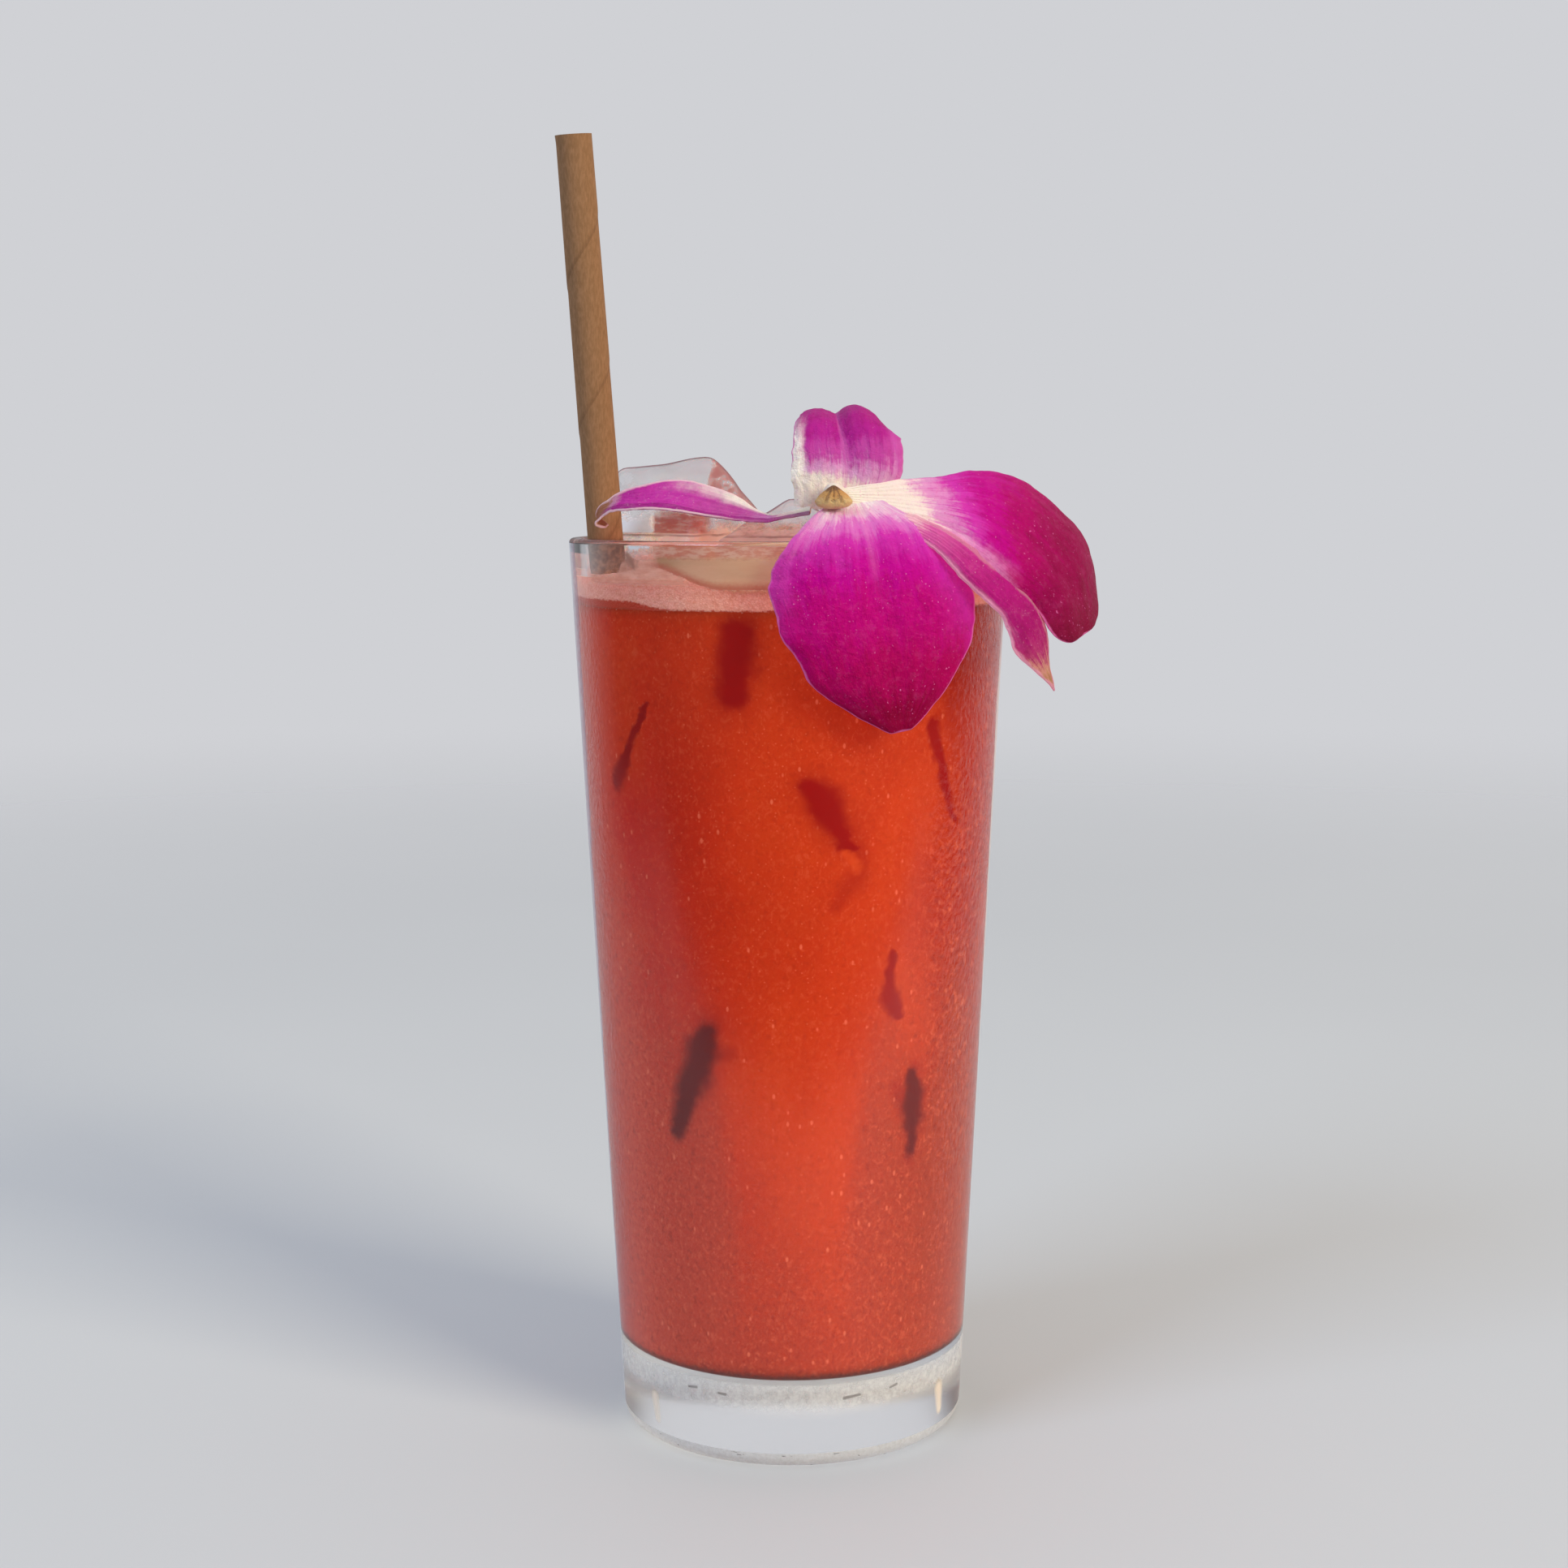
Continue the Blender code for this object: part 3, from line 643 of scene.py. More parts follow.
def drink_look():
    look = Look("lemonade_drink")
    place, _, z, around = look.round_glass()
    wall = look.join(around * WALL_RADIUS, z)
    colour, misted_and_reflected = drink_colours(look, place, z, around, wall)
    for kind in DRINK_SPECKS:
        colour = specks(look, place, colour, *kind)
    # dew on the glass, thick at the right-hand side, painted into the drink's colour as its drops' highlights
    # and shade
    dew = wall.stretch(1, 0.8, 1).noise(1.1, 4, 0.7, 0.9)
    begin = z.step(100, 122, 0.60, 0.92)
    wet = around.step(begin, begin + 0.35) * z.step(40, 75) * around.step(2.9, 1.8)
    wet = wet * 0.40 + (misted_and_reflected * 0.24 + 0.20)
    colour = (dew.step(0.52, 0.66) * wet).mix(colour, DEW_HIGHLIGHT)
    colour = (dew.step(0.47, 0.34) * wet).mix(colour, DEW_SHADE)
    # where sunk ice touches the wall
    warped = look.vector_math("ADD", wall, wall.drifted(0.8, 1.5, 4, 0.7))
    warped = look.vector_math("ADD", warped, wall.drifted(0.24, 2.6))
    for table, softness, share, tint in (
            (FAINT_STROKES, 0.9, 0.45, MARK_RED), (RED_STROKES, 0.55, 0.96, MARK_RED),
            (GREY_STROKES, 0.65, 0.92, MARK_GREY), (BRIGHT_STROKES, 0.9, 0.6, DRINK_BRIGHT)):
        colour = (strokes(look, warped, table, softness) * share).mix(colour, tint)
    # a thin dark line of painted shade where the drink meets the floor of the glass
    ragged = (wall.noise(0.7, 4, 0.7) - 0.5) * 2.4 + z
    colour = ragged.step(16.8, 15.4, 0, 0.75).mix(colour, (96, 40, 30))
    # ragged edge under the froth
    top = place.cells(1.4)[0] * -1.2 + z
    colour = top.step(143.35, 143.6, 0, 0.7).mix(colour, FROTH_PALE)
    look.set(Base_Color=colour, Roughness=0.5, Specular_IOR_Level=0.1, Subsurface_Weight=DRINK_GLOW,
             Subsurface_Scale=0.011, Subsurface_Radius=(1, 0.45, 0.3))
    return look.finish(look.plain)


def make_drink():
    corner_level = FLOOR_LEVEL + FLOOR_ROUNDING
    centre = (inner_radius(corner_level) - FLOOR_ROUNDING, corner_level)
    corner = arc(centre, FLOOR_ROUNDING + INTO_WALL, -90, 0)
    top = inner_radius(DRINK_LEVEL) + INTO_WALL
    profile = [(0, FLOOR_LEVEL - INTO_WALL), *corner, (top, DRINK_LEVEL), (0, DRINK_LEVEL)]
    mesh = turned("lemonade_drink", profile)
    return add_piece("lemonade_drink", mesh, [drink_look()], "drink", sharp=40)


# The froth

def froth_look():
    """Fine foam. At the wall, ice shows through it in front, and the drink creeps up on the left."""
    look = Look("lemonade_froth")
    place, _, z, around = look.round_glass()
    bubbles, fine = place.cells(2.8)[0], place.cells(5.5)[0]
    grain = place.noise(1.2, 4, 0.7)
    colour = bubbles.step(0.05, 0.8).mix((240, 174, 154), (230, 154, 134))
    colour = grain.step(0.45, 0.65, 0, 0.5).mix(colour, (214, 126, 100))
    colour = fine.step(0.30, 0.05, 0, 0.3).mix(colour, (250, 214, 196))
    level = (grain - 0.5) * 1.6 + z
    ice_level = around.step(-0.20, -0.56, 147, 149.6)
    ice = level.step(ice_level - 0.25, ice_level) * around.step(0.7, 0.4)
    colour = (ice * 0.6).mix(colour, (222, 176, 136))
    below = level.step(ice_level - 0.9, ice_level) * level.step(ice_level + 0.3, ice_level)
    colour = (below * 0.45).mix(colour, (190, 96, 74))
    drink_level = around.band(-3, -2, -0.85, -0.55) * 1.2 + 144
    colour = level.step(drink_level + 0.2, drink_level - 0.2).mix(colour, (186, 60, 34))
    relief = bubbles * -0.5 + fine * -0.3
    look.set(Base_Color=colour, Roughness=0.4, Specular_IOR_Level=0.3, Subsurface_Weight=0.5,
             Subsurface_Scale=0.002, Normal=look.bump(relief, 0.00018, 0.6))
    return look.finish(look.plain)


def froth_height(x, y):
    """Small swells and bubbles of the froth's top, in millimetres."""
    out = math.hypot(x, y)
    edge = inner_radius(FROTH_LEVEL)
    creep = FROTH_CREEP * max(0, 1 - (edge - out) / CREEP_WIDTH) ** 2
    swell = FROTH_SWELL * noise.noise(Vector((x * 0.12, y * 0.12, 0.3)))
    grain = FROTH_GRAIN * noise.noise(Vector((x * 0.9, y * 0.9, 4)))
    return FROTH_LEVEL + creep + (swell + grain) * min(1, (edge - out) / 1.5 + 0.2)


def make_froth():
    bottom = DRINK_LEVEL - 0.1
    rings = list(np.linspace(0, inner_radius(FROTH_LEVEL) - CREEP_WIDTH, 48))
    rings += list(np.linspace(rings[-1], inner_radius(FROTH_LEVEL) + INTO_WALL, 9))[1:]
    profile = [(0, bottom), (20, bottom), (inner_radius(bottom) + INTO_WALL, bottom)]
    profile += [(radius, FROTH_LEVEL) for radius in rings[::-1]]
    mesh = turned("lemonade_froth", profile)
    for vertex in mesh.vertices:
        if vertex.co.z > (DRINK_LEVEL + 1) * MM:
            vertex.co.z = froth_height(vertex.co.x / MM, vertex.co.y / MM) * MM
    return add_piece("lemonade_froth", mesh, [froth_look()], "froth", sharp=50)


# The straw

def straw_look():
    """Plain brown paper, darker and wet inside the glass, with a fine seam where the strip overlaps."""
    look = Look("lemonade_straw")
    u, v, _ = look.parts(look.get("UVMap"))
    place = look.place()
    fibres = place.stretch(1, 1, 0.25).noise(3, 4, 0.6)
    flecks = place.noise(1.1, 3, 0.6)
    colour = fibres.step(0.35, 0.7).mix((144, 104, 70), (162, 118, 84))
    colour = flecks.step(0.55, 0.75, 0, 0.35).mix(colour, (134, 94, 64))
    inside = look.parts(place)[2].step(GLASS_HEIGHT + 0.4, GLASS_HEIGHT - 0.6)
    stained = place.noise(0.9, 3, 0.7).step(0.42, 0.62).mix((84, 50, 34), (134, 94, 70))
    colour = (inside * 0.85).mix(colour, stained)
    seam = look.math("FRACT", v - u).band(0, 0.012, 0.02, 0.06)
    colour = (seam * 0.35).mix(colour, (104, 72, 48))
    look.set(Base_Color=colour, Roughness=0.75, Specular_IOR_Level=0.25,
             Normal=look.bump(fibres, 0.00005, 0.6))
    return look.finish(look.plain)


def tube(name, start, end, rows, ring):
    """A tube from start to end, through rows of a place along it and the radii round it there.

    With ring the last row meets the first, as in a pipe with a wall. Without it both ends are closed.
    """
    start, end = Vector(start), Vector(end)
    turn = Vector((0, 0, 1)).rotation_difference(end - start)
    points, faces, uvs = [], [], []
    for along, radii in rows:
        sides = len(radii)
        for angle, radius in zip(2 * math.pi * np.arange(sides) / sides, radii):
            points.append(start + turn @ Vector((math.cos(angle) * radius, math.sin(angle) * radius, along)))
    for row in range(len(rows) - (not ring)):
        after = (row + 1) % len(rows)
        for side in range(sides):
            following = (side + 1) % sides
            faces.append((row * sides + side, row * sides + following,
                          after * sides + following, after * sides + side))
            for across, place in ((side, row), (side + 1, row), (side + 1, after), (side, after)):
                uvs.append((across / sides, rows[place][0] / STRAW_PITCH))
    if not ring:
        faces += [tuple(range(sides))[::-1], tuple(range(len(points) - sides, len(points)))]
        return mesh_of(name, points, faces)
    mesh = mesh_of(name, points, faces)
    for loop, uv in zip(mesh.uv_layers.new(name="UVMap").data, uvs):
        loop.uv = uv
    return mesh


def make_straw():
    """A tube wound from one strip of paper: each turn overlaps the last in a low step."""
    length = (Vector(STRAW_TOP) - Vector(STRAW_FOOT)).length
    shares = np.arange(STRAW_SIDES) / STRAW_SIDES
    inner = np.full(STRAW_SIDES, STRAW_DIAMETER / 2 - STRAW_WALL)
    rows = []
    for along in np.linspace(0, length, STRAW_RINGS + 1):
        phase = (along / STRAW_PITCH - shares) % 1
        step = PAPER_STEP * (np.minimum(1, phase / STEP_SHARE) - phase)
        rows.append((along, STRAW_DIAMETER / 2 - STEP_MIDDLE + step))
    mesh = tube("lemonade_straw", STRAW_FOOT, STRAW_TOP, rows + [(length, inner), (0, inner)], True)
    add_piece("lemonade_straw", mesh, [straw_look()], "straw", sharp=40)


# The ice

def ice_look(name, cloud_side, stain_end, staining):
    """Wet ice: clear where it stands clear of the froth, milky and stained by the drink lower down.

    It is milky from cloud_side on to the right, and stained from there to stain_end.
    """
    look = Look(name)
    place = look.place()
    x, _, z = look.parts(place)
    out_x, out_y, _ = look.parts(look.get("NewGeometry", output="Normal"))
    wave = place.noise(0.22, 3, 0.5)
    blots = place.stretch(0.7, 0.7, 1.4).noise(0.45, 4, 0.65)
    normal = look.bump(place.noise(1.3, 3, 0.6) * 0.2 + wave, 0.0008, 0.3)
    look.set(Base_Color=(0.96, 0.93, 0.93), Roughness=0.03, IOR=1.31, Transmission_Weight=1,
             Normal=normal)
    thin = look.get("BsdfTransparent", {"Color": (0.93, 0.925, 0.935)})
    clear = look.blend(z.step(155, 159, 0.45, 0.85), look.plain, thin)
    # milk-white depth and the red of the drink
    level = (blots - 0.5) * 5 + z
    milk = level.step(150.5, 155).mix((226, 190, 144), (222, 180, 162))
    streaks = place.stretch(0.35, 0.35, 1.6).noise(0.9, 4, 0.65)
    stain = x.band(cloud_side, cloud_side + 0.8, stain_end - 2.5, stain_end) * level.step(160, 158.2)
    stain = stain * z.step(155.5, 155.9) * streaks.step(0.30, 0.55, 0.65, 1)
    beside = out_x.step(0.30, 0.50) * blots.step(0.30, 0.55) * z.step(158.5, 161) * x.step(-19, -16)
    stain = (stain | beside * 0.9) * staining
    milk = stain.mix(milk, (172, 72, 58))
    milk = (z.step(149.6, 148.6) * 0.4).mix(milk, (196, 116, 90))
    milky = look.get("BsdfPrincipled", {"Base Color": milk, "Roughness": 0.3, "Normal": normal,
                                        "Subsurface Weight": 0.7, "Subsurface Scale": 0.004})
    share = level.step(158, 155.5) * x.step(cloud_side, cloud_side + 2.5)
    shader = look.blend(share * 0.92 | stain * 0.85, clear, milky)
    # a painted highlight beside the milk, and the far rim as a thin line through the ice
    ragged = (blots - 0.5) * 3 + x
    glint = ragged.step(cloud_side + 0.2, cloud_side - 0.5) * z.step(155.7, 156)
    glint = glint * level.step(159, 158, 0, 0.85) * out_y.step(0.1, -0.1)
    shader = look.blend(glint, shader, look.matt((226, 230, 238)))
    off = abs(wave * 0.5 + z - FAR_RIM_SEEN)
    seam = off.step(0.26, 0.10) * wave.step(0.35, 0.6, 0.35, 0.7)
    shader = look.blend(seam, shader, look.matt((150, 108, 100)))
    # painted shade: thin dusky lines where the rounded edges are seen edge on
    edge = look.facing().step(0.55, 0.8) * z.step(157, 160, 0.05, 0.75)
    return look.finish(look.blend(edge, shader, look.matt((150, 112, 118))), (0.95, 0.93, 0.93))


def ice_frame(edges):
    first = Vector(edges[0]).normalized()
    second = (Vector(edges[1]) - first * first.dot(Vector(edges[1]))).normalized()
    third = first.cross(second)
    if third.z > 0:
        third = -third
    return first, second, third


def ice_mesh(name, corner, edges, size, extra=0):
    """A melted block: rounded edges and faces that swell and dip a little."""
    directions = ice_frame(edges)
    middle = Vector(corner)
    for direction, length in zip(directions, size):
        middle += direction * length / 2
    builder = bmesh.new()
    bmesh.ops.create_cube(builder, size=1)
    bmesh.ops.scale(builder, vec=[length + 2 * extra for length in size], verts=builder.verts)
    bmesh.ops.bevel(builder, geom=builder.edges, offset=ICE_ROUNDING, profile=0.5, segments=6, affect="EDGES")
    long_edges = [edge for edge in builder.edges if edge.calc_length() > 4]
    bmesh.ops.subdivide_edges(builder, edges=long_edges, cuts=14, use_grid_fill=True)
    turn = Matrix(directions).transposed()
    if turn.determinant() < 0:
        turn = turn @ Matrix.Diagonal((1, 1, -1))
    bmesh.ops.recalc_face_normals(builder, faces=builder.faces)
    for vertex in builder.verts:
        swell = ICE_SWELL * noise.noise(vertex.co * 0.16 + Vector((size[0], 0, 0)))
        vertex.co = (middle + turn @ (vertex.co * (1 + swell))) * MM
    return built(name, builder)


def cut(piece, cutters):
    """Take the cutters out of a piece for good."""
    for cutter in cutters:
        difference = piece.modifiers.new("room", "BOOLEAN")
        difference.operation = "DIFFERENCE"
        difference.object = cutter
    bpy.context.view_layer.update()
    evaluated = piece.evaluated_get(bpy.context.evaluated_depsgraph_get())
    mesh = bpy.data.meshes.new_from_object(evaluated)
    piece.modifiers.clear()
    piece.data = mesh


def make_ice(drink, froth):
    """The blocks, and their room in the drink and the froth."""
    rooms = []
    for name, block in ICE_BLOCKS.items():
        look = ice_look("lemonade_ice_" + name, *ICE_STAINS[name])
        mesh = ice_mesh("lemonade_ice_" + name, *block)
        add_piece("lemonade_ice_" + name, mesh, [look], "ice_" + name, sharp=60)
        rooms.append(in_scene("room_" + name, ice_mesh("room_" + name, *block, extra=-INTO_WALL)))
    for piece in (drink, froth):
        cut(piece, rooms)
    for room in rooms:
        bpy.data.objects.remove(room)


# The orchid

def smooth(values, shares):
    values = np.asarray(values, float)
    spans = len(values) - 1
    place = np.clip(np.asarray(shares, float) * spans, 0, spans - 1e-9)
    index = place.astype(int)
    f = place - index
    padded = np.concatenate([[2 * values[0] - values[1]], values, [2 * values[-1] - values[-2]]])
    before, start, end, after = (padded[index + k] for k in range(4))
    return 0.5 * (2 * start + (end - before) * f + (2 * before - 5 * start + 4 * end - after) * f ** 2
                  + (3 * start - before - 3 * end + after) * f ** 3)


def unit(vectors):
    return vectors / np.linalg.norm(vectors, axis=-1, keepdims=True)


def tepal_surface(shape, along_shares, sides):
    """Points of the middle surface and the distance to the edge, for grids of shares along and across."""
    def curve(values, where):
        return np.stack([smooth(axis, where) for axis in zip(*values)], axis=-1)

    step = 1e-3
    spine = curve(shape["spine"], along_shares)
    along = unit(curve(shape["spine"], np.minimum(along_shares + step, 1))
                 - curve(shape["spine"], np.maximum(along_shares - step, 0)))
    across = np.asarray(shape["across"], float)
    across = unit(across - (along @ across)[..., None] * along)
    face = np.cross(along, across)
    roll = np.radians(smooth(shape.get("roll", (0, 0)), along_shares))[..., None]
    sideways = across * np.cos(roll) + face * np.sin(roll)
    outward = face * np.cos(roll) - across * np.sin(roll)
    right = sides > 0

    def by_side(key):
        left_values, right_values = (smooth(shape[key + side], along_shares) for side in ("left", "right"))
        return np.where(right, right_values, left_values)

    rounding = np.sqrt(1 - (TIP_REACH * along_shares) ** shape["tip"])
    both = (smooth(shape["left"], along_shares) + smooth(shape["right"], along_shares)) * rounding
    widest = both.max()
    half = by_side("") * rounding
    for side, place, length, depth in shape.get("notches", ()):
        dip = depth * np.exp(-((along_shares - place) / length) ** 2)
        half = half - np.where(right == (side > 0), dip, 0)
    for phase, waves, depth in ((0.4, 5.3, 0.14), (2.1, 11.9, 0.09), (4, 23.7, 0.04)):
        turns = 2 * math.pi * waves * along_shares
        swing = 0.5 + 0.5 * np.sin(0.31 * turns + 2 * phase + right)
        half = half + depth * swing * np.sin(turns + phase + 1.9 * right) * rounding
    far = np.abs(sides)
    rise = by_side("turn_") * far ** 2 + by_side("lobe_") * np.sin(math.pi * far)
    phase = np.where(right, 1.3, 0)
    rise += shape["ripple"] * far ** 3 * np.sin(2 * math.pi * RIPPLE_WAVES * along_shares + phase)
    grid = spine + sideways * (half * sides)[..., None] + outward * (rise * both / widest)[..., None]
    return grid, half * (1 - far)


def grown(shape):
    """A tepal's grid of points, with how near the edge each is, and its shares along and across."""
    v = np.linspace(-1, 1, TEPAL_COLUMNS)
    v = np.sign(v) * (1 - (1 - np.abs(v)) ** 1.25)
    s = np.linspace(0, 1, TEPAL_ROWS)
    reach = smooth(shape.get("reach", (1, 1)), (v + 1) / 2)
    along_shares = s[:, None] * np.minimum(reach, 1)[None, :]
    sides = np.broadcast_to(v[None, :], along_shares.shape)
    grid, edge = tepal_surface(shape, along_shares, sides)
    lengths = np.linalg.norm(np.diff(grid, axis=0), axis=-1)
    travelled = np.concatenate([np.zeros((1, TEPAL_COLUMNS)), np.cumsum(lengths, axis=0)])
    edge = np.minimum(edge, travelled[-1] - travelled)
    return grid, edge, along_shares, sides


def make_tepal(name, node, material):
    grid, edge, along_shares, sides = grown(TEPALS[node])
    normals = unit(np.cross(np.gradient(grid, axis=0), np.gradient(grid, axis=1)))
    thickness = TEPAL_THICKNESS * (1 - (1 - EDGE_SHARE) * np.exp(-edge / EDGE_REACH))
    ridge = VEIN_RELIEF * np.cos(VEINS * math.pi * sides) * (1 - along_shares) ** 0.5
    for place in np.ndindex(ridge.shape):
        point = Vector(grid[place])
        ridge[place] += 0.14 * noise.noise(point * 0.3) + 0.05 * noise.noise(point * 0.9)
    grid = grid + normals * ridge[:, :, None]
    offset = normals * (thickness / 2)[:, :, None]
    points = np.concatenate([(grid + offset).reshape(-1, 3), (grid - offset).reshape(-1, 3)])
    second = TEPAL_ROWS * TEPAL_COLUMNS
    index = np.arange(second).reshape(TEPAL_ROWS, TEPAL_COLUMNS)
    corners = (index[:-1, :-1], index[1:, :-1], index[1:, 1:], index[:-1, 1:])
    front = np.stack(corners, axis=-1).reshape(-1, 4)
    border = np.concatenate([index[0], index[1:, -1], index[-1, -2::-1], index[-2:0:-1, 0]])
    following = np.roll(border, -1)
    rim = np.stack([border, following, second + following, second + border], axis=-1)
    mesh = mesh_of(name, points, np.concatenate([front, second + front[:, ::-1], rim]).tolist())
    at = np.array([loop.vertex_index for loop in mesh.loops]) % second
    for map_name, first in (("UVMap", (sides.ravel() + 1) / 2), ("edge", edge.ravel())):
        places = np.stack([first[at], along_shares.ravel()[at]], axis=1)
        layer = mesh.uv_layers.new(name=map_name)
        layer.data.foreach_set("uv", places.astype(np.float32).ravel())
    builder = bmesh.new()
    builder.from_mesh(mesh)
    bmesh.ops.recalc_face_normals(builder, faces=builder.faces)
    builder.to_mesh(mesh)
    builder.free()
    add_piece(name, mesh, [material], node, sharp=80)


def tepal_look(name, stops, bend=(0, 0), flare=0.10, sides=(), edge=(226, 120, 180), edge_width=0.4,
               specks=0.6, see_through=0.05, midrib=None):
    """Petal colour: it runs along the petal through the stops, in streaks that fan out from the base.

    bend says how much earlier (minus) or later the colours come at the sides. Each of the sides is a tint
    with the places across where it starts and is full, its share, and how far along it fades out. The
    midrib is a tint with its half-width, its share and how far along it fades out.
    """
    look = Look(name)
    u, s, _ = look.parts(look.get("UVMap", uv_map="UVMap"))
    near = look.parts(look.get("UVMap", uv_map="edge"))[0]
    v = u * 2 - 1
    place = look.place()
    lines = look.join(v * 8, s * 1.8).noise(1, 4, 0.7) - 0.5
    fine = look.join(v * 26, s * 5, 5).noise(1, 3, 0.6) - 0.5
    clouds = place.noise(0.16, 4, 0.6) - 0.5
    grain = place.noise(1.7, 4, 0.75) - 0.5
    along = s + v * bend[0] + v * v * bend[1]
    along = along + lines * (flare * 1.6) + fine * (flare * 0.7) + clouds * 0.22 + grain * 0.10
    colour = look.ramp(along, stops)
    aside = clouds * 0.5 + lines * 0.2 + v
    for tint, start, full, share, fade in sides:
        reach = aside.step(start, full) * along.step(fade, fade - 0.25, 0, share)
        colour = reach.mix(colour, tint)
    if midrib:
        tint, width, share, fade = midrib
        reach = abs(fine * 0.15 + v).step(width, 0) * along.step(fade, fade - 0.25, 0, share)
        colour = reach.mix(colour, tint)
    # veins, mottling and a thin pale edge
    dark = look.get("Mix", {0: 1, 6: colour, 7: (0.60, 0.45, 0.50)}, 2, data_type="RGBA",
                    blend_type="MULTIPLY")
    coloured = along.step(0.12, 0.40)
    blots = place.noise(0.5, 4, 0.7) - 0.5
    colour = fine.step(0.04, 0.3, 0, 0.16).mix(colour, dark)
    colour = (coloured * grain.step(-0.04, -0.22, 0, 0.35)).mix(colour, dark)
    colour = grain.step(0.05, 0.22, 0, 0.14).mix(colour, edge)
    colour = (coloured * blots.step(0.00, 0.16, 0, 0.30)).mix(colour, dark)
    colour = (coloured * blots.step(-0.03, -0.16, 0, 0.06)).mix(colour, edge)
    wander = place.noise(0.5) * (edge_width * 2)
    rim = near.step(wander, wander * 0.3, 0, 0.85) * along.step(0.12, 0.35)
    colour = rim.mix(colour, edge)
    # fine pale specks
    scatter = look.vector_math("SCALE", place.noise(1.1, output="Color"), 0.9)
    distance, own = look.vector_math("ADD", place, scatter).cells(1.5)
    chance, breadth, _ = look.parts(own)
    size = breadth * 0.18 + 0.12
    speck = distance.step(size, size * 0.3) * chance.step(0.35, 0.60) * clouds.step(-0.10, 0.06, 0.15, 1)
    colour = (speck * specks).mix(colour, edge)
    height = grain * 1.1 + lines + fine * 0.25 + speck * 0.15 + place.noise(0.33, 3, 0.55, 0.8) * 2
    normal = look.bump(height, 0.00030, 0.7)
    look.set(Base_Color=colour, Roughness=0.5, Specular_IOR_Level=0.05, Normal=normal,
             Subsurface_Weight=0.15, Subsurface_Scale=0.001, Subsurface_Radius=(1, 0.25, 0.6))
    through = look.get("BsdfTranslucent", {"Color": colour, "Normal": normal})
    return look.finish(look.blend(see_through, look.plain, through), PETAL_SHADE)


# How tepal_look colours each
PETAL_COLOURS = {
    "petal_front": dict(
        stops=((0, (242, 222, 224)), (0.07, (234, 184, 212)), (0.17, (220, 110, 192)), (0.28, (210, 44, 172)),
               (0.40, (204, 2, 150)), (0.55, (198, 0, 124)), (0.74, (184, 0, 94)), (1, (150, 0, 58))),
        bend=(-0.02, -0.03), flare=0.16, edge=(230, 112, 184), specks=0.9, see_through=0.03,
        midrib=((232, 120, 190), 0.07, 0.30, 0.55),
        sides=(((206, 60, 190), 0.50, 0.95, 0.5, 0.75), ((218, 70, 178), -0.60, -0.98, 0.60, 0.62))),
    "petal_right": dict(
        stops=((0, (252, 240, 226)), (0.17, (248, 228, 218)), (0.26, (228, 148, 200)), (0.36, (212, 52, 172)),
               (0.47, (194, 0, 136)), (0.58, (178, 0, 102)), (0.72, (152, 6, 76)), (1, (134, 18, 60))),
        bend=(0.06, -0.03), flare=0.14, edge=(226, 110, 176), edge_width=0.3, specks=0.8,
        sides=(((242, 170, 212), -0.72, -1, 0.85, 0.60),)),
    "sepal_upper": dict(
        stops=((0, (255, 246, 230)), (0.15, (250, 236, 226)), (0.24, (224, 158, 204)), (0.33, (198, 70, 164)),
               (0.43, (184, 34, 144)), (0.60, (176, 30, 128)), (1, (150, 30, 104))),
        bend=(-0.05, 0), flare=0.12, edge=(214, 110, 178), edge_width=0.3,
        midrib=((214, 110, 184), 0.10, 0.5, 1.2),
        sides=(((255, 246, 236), 0.72, 0.90, 0.95, 0.60), ((214, 96, 184), -0.72, -0.95, 0.5, 0.8))),
    "sepal_right": dict(
        stops=((0, (255, 240, 224)), (0.10, (248, 206, 214)), (0.22, (226, 104, 180)), (0.38, (208, 56, 154)),
               (0.55, (196, 30, 138)), (0.72, (182, 28, 122)), (0.84, (190, 60, 126)),
               (0.93, (220, 160, 146)), (1, (200, 150, 110))),
        flare=0.16, edge=(246, 176, 206), edge_width=0.6, specks=0.7, see_through=0.25,
        sides=(((232, 186, 190), 0.50, 0.62, 0.4, 1.3), ((240, 170, 204), -0.6, -0.9, 0.6, 0.8))),
    "sepal_left": dict(
        stops=((0, (250, 236, 216)), (0.07, (242, 214, 210)), (0.13, (208, 130, 186)), (0.24, (196, 78, 158)),
               (0.45, (204, 56, 166)), (0.60, (196, 52, 160)), (0.67, (204, 140, 170)),
               (0.73, (176, 116, 88)), (1, (140, 84, 56))),
        flare=0.05, edge=(240, 200, 206), edge_width=0.45, see_through=0.08,
        # its first side tint, darker magenta, is painted shade on the near half below the crease
        sides=(((158, 32, 126), 0.28, 0.34, 0.75, 0.85), ((252, 236, 222), -0.42, -0.86, 1, 0.48))),
}


def make_orchid():
    for name, colours in PETAL_COLOURS.items():
        material = tepal_look("lemonade_" + name, **colours)
        make_tepal("lemonade_" + name, "orchid_" + name, material)


def column_look():
    look = Look("lemonade_column")
    grain = look.place().noise(1.5, 3)
    look.set(Base_Color=grain.mix((240, 230, 214), (226, 206, 190)), Roughness=0.45,
             Subsurface_Weight=0.3, Subsurface_Scale=0.001, Normal=look.bump(grain, 0.0002, 0.5))
    return look.finish(look.plain)


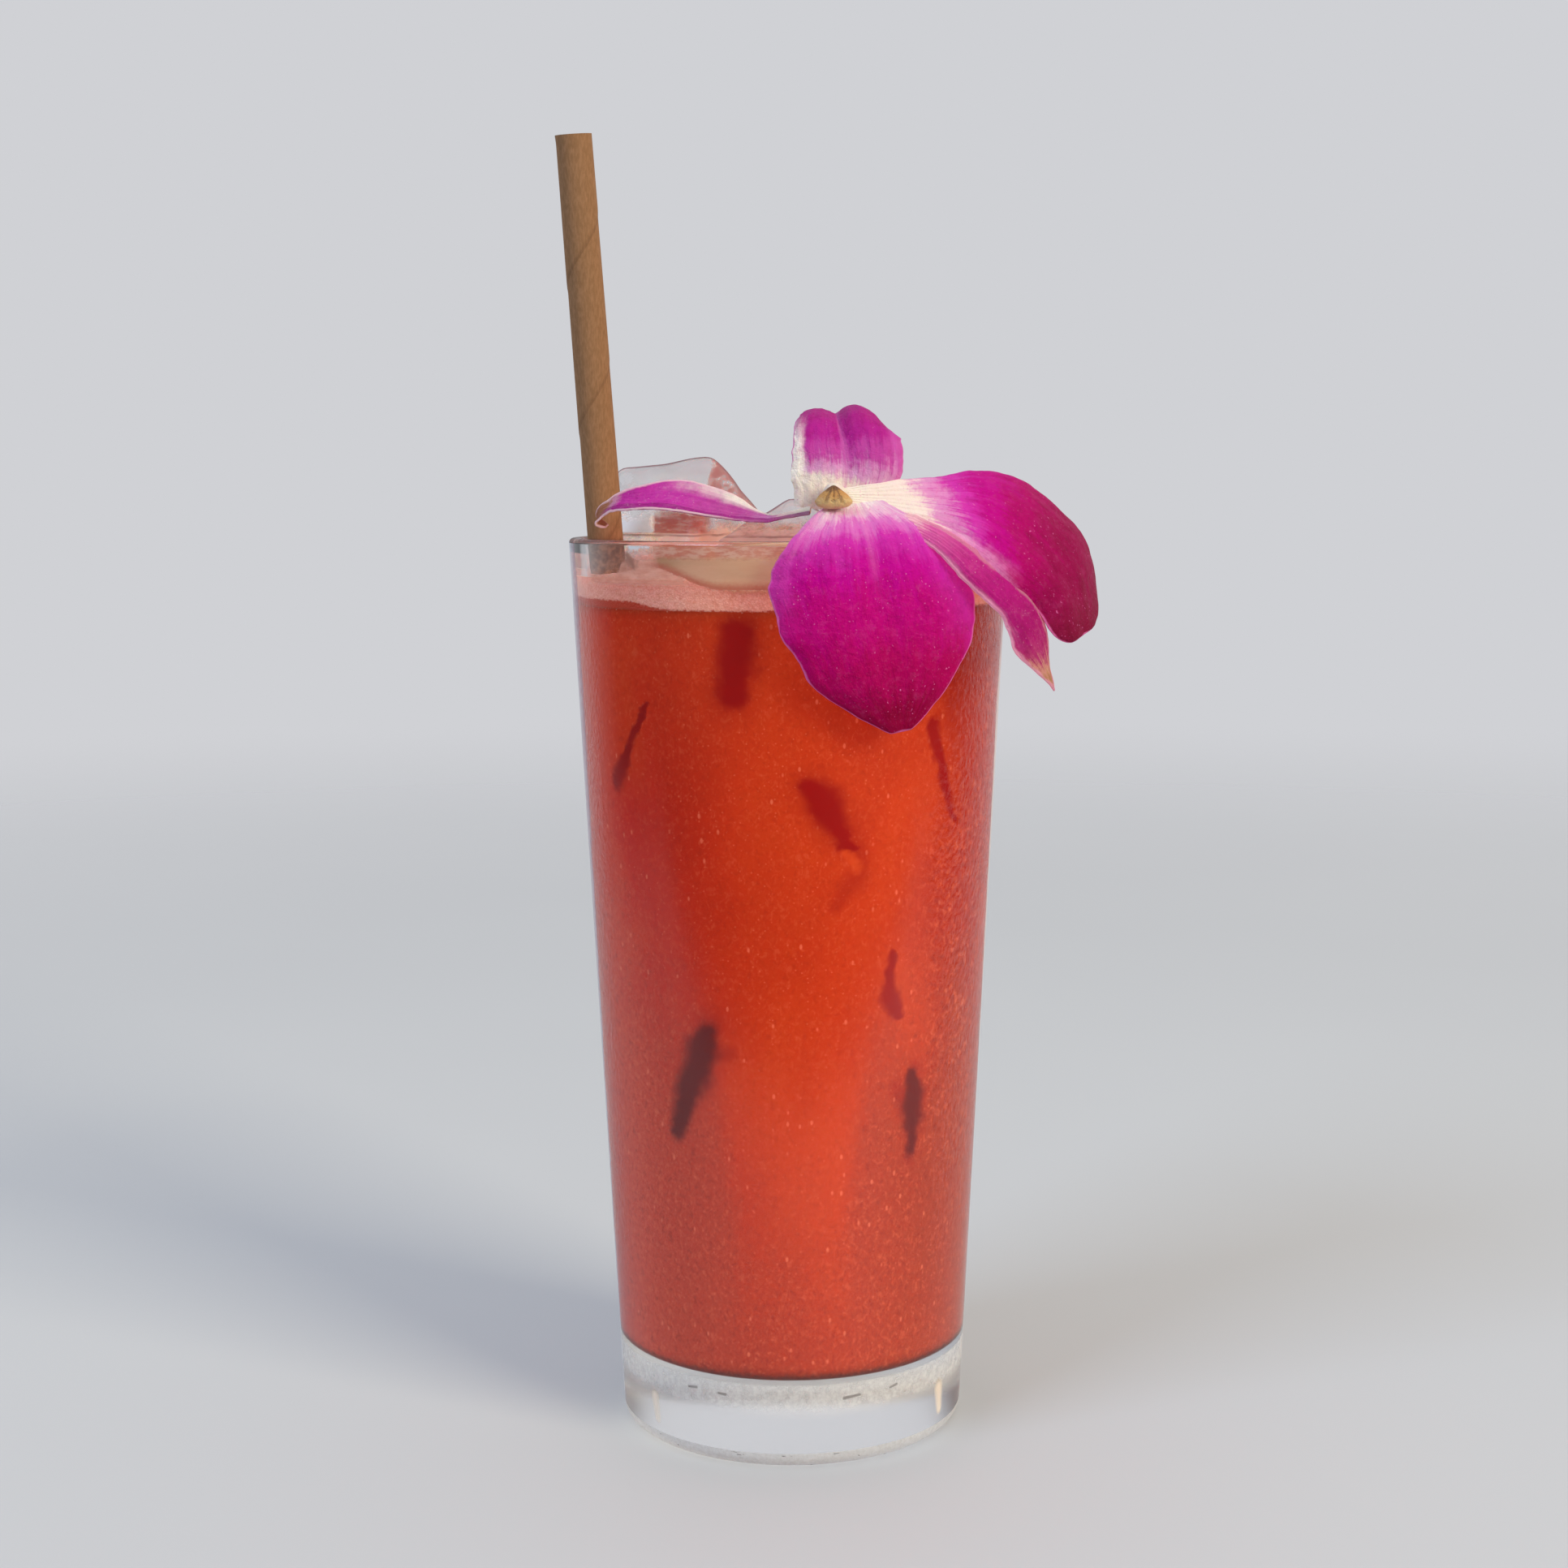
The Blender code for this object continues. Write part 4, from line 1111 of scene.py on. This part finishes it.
def cap_look():
    """Golden, darker towards its peak, with fine brown lines that run down to its two lobes."""
    look = Look("lemonade_cap")
    place = look.place()
    x, _, z = look.parts(place)
    grain = place.noise(2.2, 4, 0.6)
    uneven = grain - 0.5
    level = uneven * 1.6 + z
    colour = level.step(160.8, 162.4).mix((222, 184, 128), (196, 140, 74))
    colour = level.step(162.5, 163.3).mix(colour, (120, 78, 40))
    fan = abs(x - CAP_CENTRE[0]) / (164.2 - z | 0.3) + uneven * 0.5
    stripe = abs(fan - 0.42).step(0.16, 0.04) | abs(fan).step(0.10, 0.02)
    stripe = stripe * z.step(160.6, 161.6)
    colour = (stripe * 0.6).mix(colour, (112, 70, 36))
    look.set(Base_Color=colour, Roughness=0.4, Subsurface_Weight=0.2, Subsurface_Scale=0.0008,
             Normal=look.bump(stripe * -0.6 + grain, 0.0003, 0.7))
    return look.finish(look.plain)


def make_column():
    length = (Vector(COLUMN_BACK) - Vector(COLUMN_FRONT)).length
    ridged = 1 + 0.05 * np.cos(3 * 2 * math.pi * np.arange(48) / 48)
    rows = []
    for share in np.linspace(0, 1, 25):
        bulge = math.sin(math.pi * min(0.985, max(0.015, share))) ** 0.25
        rows.append((share * length, COLUMN_RADIUS * bulge * ridged))
    mesh = tube("lemonade_column", COLUMN_FRONT, COLUMN_BACK, rows, False)
    add_piece("lemonade_column", mesh, [column_look()], "orchid_column", sharp=60)


def make_cap():
    builder = bmesh.new()
    bmesh.ops.create_icosphere(builder, subdivisions=5, radius=0.5)
    for vertex in builder.verts:
        height = vertex.co.z + 0.5
        groove = 1 - 0.10 * math.exp(-(vertex.co.x / 0.07) ** 2)
        lump = 1 + 0.05 * noise.noise(vertex.co * 5)
        point = Vector((vertex.co.x * CAP_WIDTH * (1 - 0.75 * height) * lump,
                        vertex.co.y * CAP_DEPTH * (1 - 0.4 * height) * groove,
                        vertex.co.z * CAP_HEIGHT))
        vertex.co = (Vector(CAP_CENTRE) + point) * MM
    add_piece("lemonade_cap", built("lemonade_cap", builder), [cap_look()], "orchid_cap")


# Floor, light and camera

def make_floor():
    look = Look("floor")
    place = look.place()
    x, y, _ = look.parts(place)
    colour = place.noise(0.004).mix((0.60, 0.60, 0.615), (0.64, 0.64, 0.65))
    look.set(Base_Color=colour, Roughness=0.6, Specular_IOR_Level=0.2)
    # it fades away far off, and sooner in front, so that the glass doesn't mirror it
    far = look.vector_math("LENGTH", look.join(x, y)).step(350, 1300) | y.step(-150, -330)
    clear = look.get("BsdfTransparent")
    corners = [(x * FLOOR_REACH, y * FLOOR_REACH, -0.02) for x, y in ((-1, -1), (1, -1), (1, 1), (-1, 1))]
    mesh = mesh_of("floor", corners, [(0, 1, 2, 3)])
    mesh.materials.append(look.finish(look.blend(far, look.plain, clear)))
    floor = in_scene("floor", mesh)


def add_light(name, place, target, size, power, colour):
    lamp = bpy.data.lights.new(name, "AREA")
    lamp.shape = "RECTANGLE"
    lamp.size, lamp.size_y = size
    lamp.energy = power
    lamp.color = colour
    thing = in_scene(name, lamp)
    thing.location = place
    thing.rotation_mode = "QUATERNION"
    thing.rotation_quaternion = (Vector(target) - Vector(place)).to_track_quat("-Z", "Y")


class Surroundings(Look):
    """The same short ways for the world's nodes."""

    def __init__(self, name):
        self.world = bpy.data.worlds.new(name)
        self.world.use_nodes = True
        self.tree = self.world.node_tree


def make_world():
    """A pale studio whose front side, behind the viewer, is dim, so that the glass mirrors little."""
    studio = Surroundings("studio")
    _, y, z = studio.parts(studio.get("TexCoord", output="Generated"))
    mirrored = 1 - studio.get("LightPath", output="Is Camera Ray")
    dim = y.step(0.74, 0.20) * z.step(0.75, 0.35) * mirrored
    dark = tuple(part * FRONT_DIMNESS for part in linear(BACKDROP))
    studio.put(studio.tree.nodes["Background"].inputs[0], dim.mix(BACKDROP, dark))
    bpy.context.scene.world = studio.world


def make_light():
    make_world()
    add_light("key", (2.05, -1.82, 1.30), (0, 0, 0.08), (1.2, 1.2), 73, (1, 0.93, 0.74))
    add_light("side", (-1.86, -1.59, 1.80), (0, 0, 0.08), (1.3, 1.3), 38, (0.60, 0.78, 1))


def make_camera():
    camera = bpy.data.cameras.new("camera")
    camera.sensor_width = CAMERA_SENSOR
    camera.lens = CAMERA_LENS
    camera.clip_start, camera.clip_end = 0.01, 20
    thing = in_scene("camera", camera)
    tilt = Matrix.Rotation(math.pi / 2 - CAMERA_PITCH, 4, "X") @ Matrix.Rotation(CAMERA_ROLL, 4, "Z")
    thing.matrix_world = Matrix.Translation(Vector(CAMERA_PLACE) * MM) @ tilt
    bpy.context.scene.camera = thing


def main():
    bpy.context.scene.view_settings.view_transform = "Standard"
    make_glass()
    drink = make_drink()
    froth = make_froth()
    make_straw()
    make_ice(drink, froth)
    make_orchid()
    make_column()
    make_cap()
    make_floor()
    make_light()
    make_camera()


main()
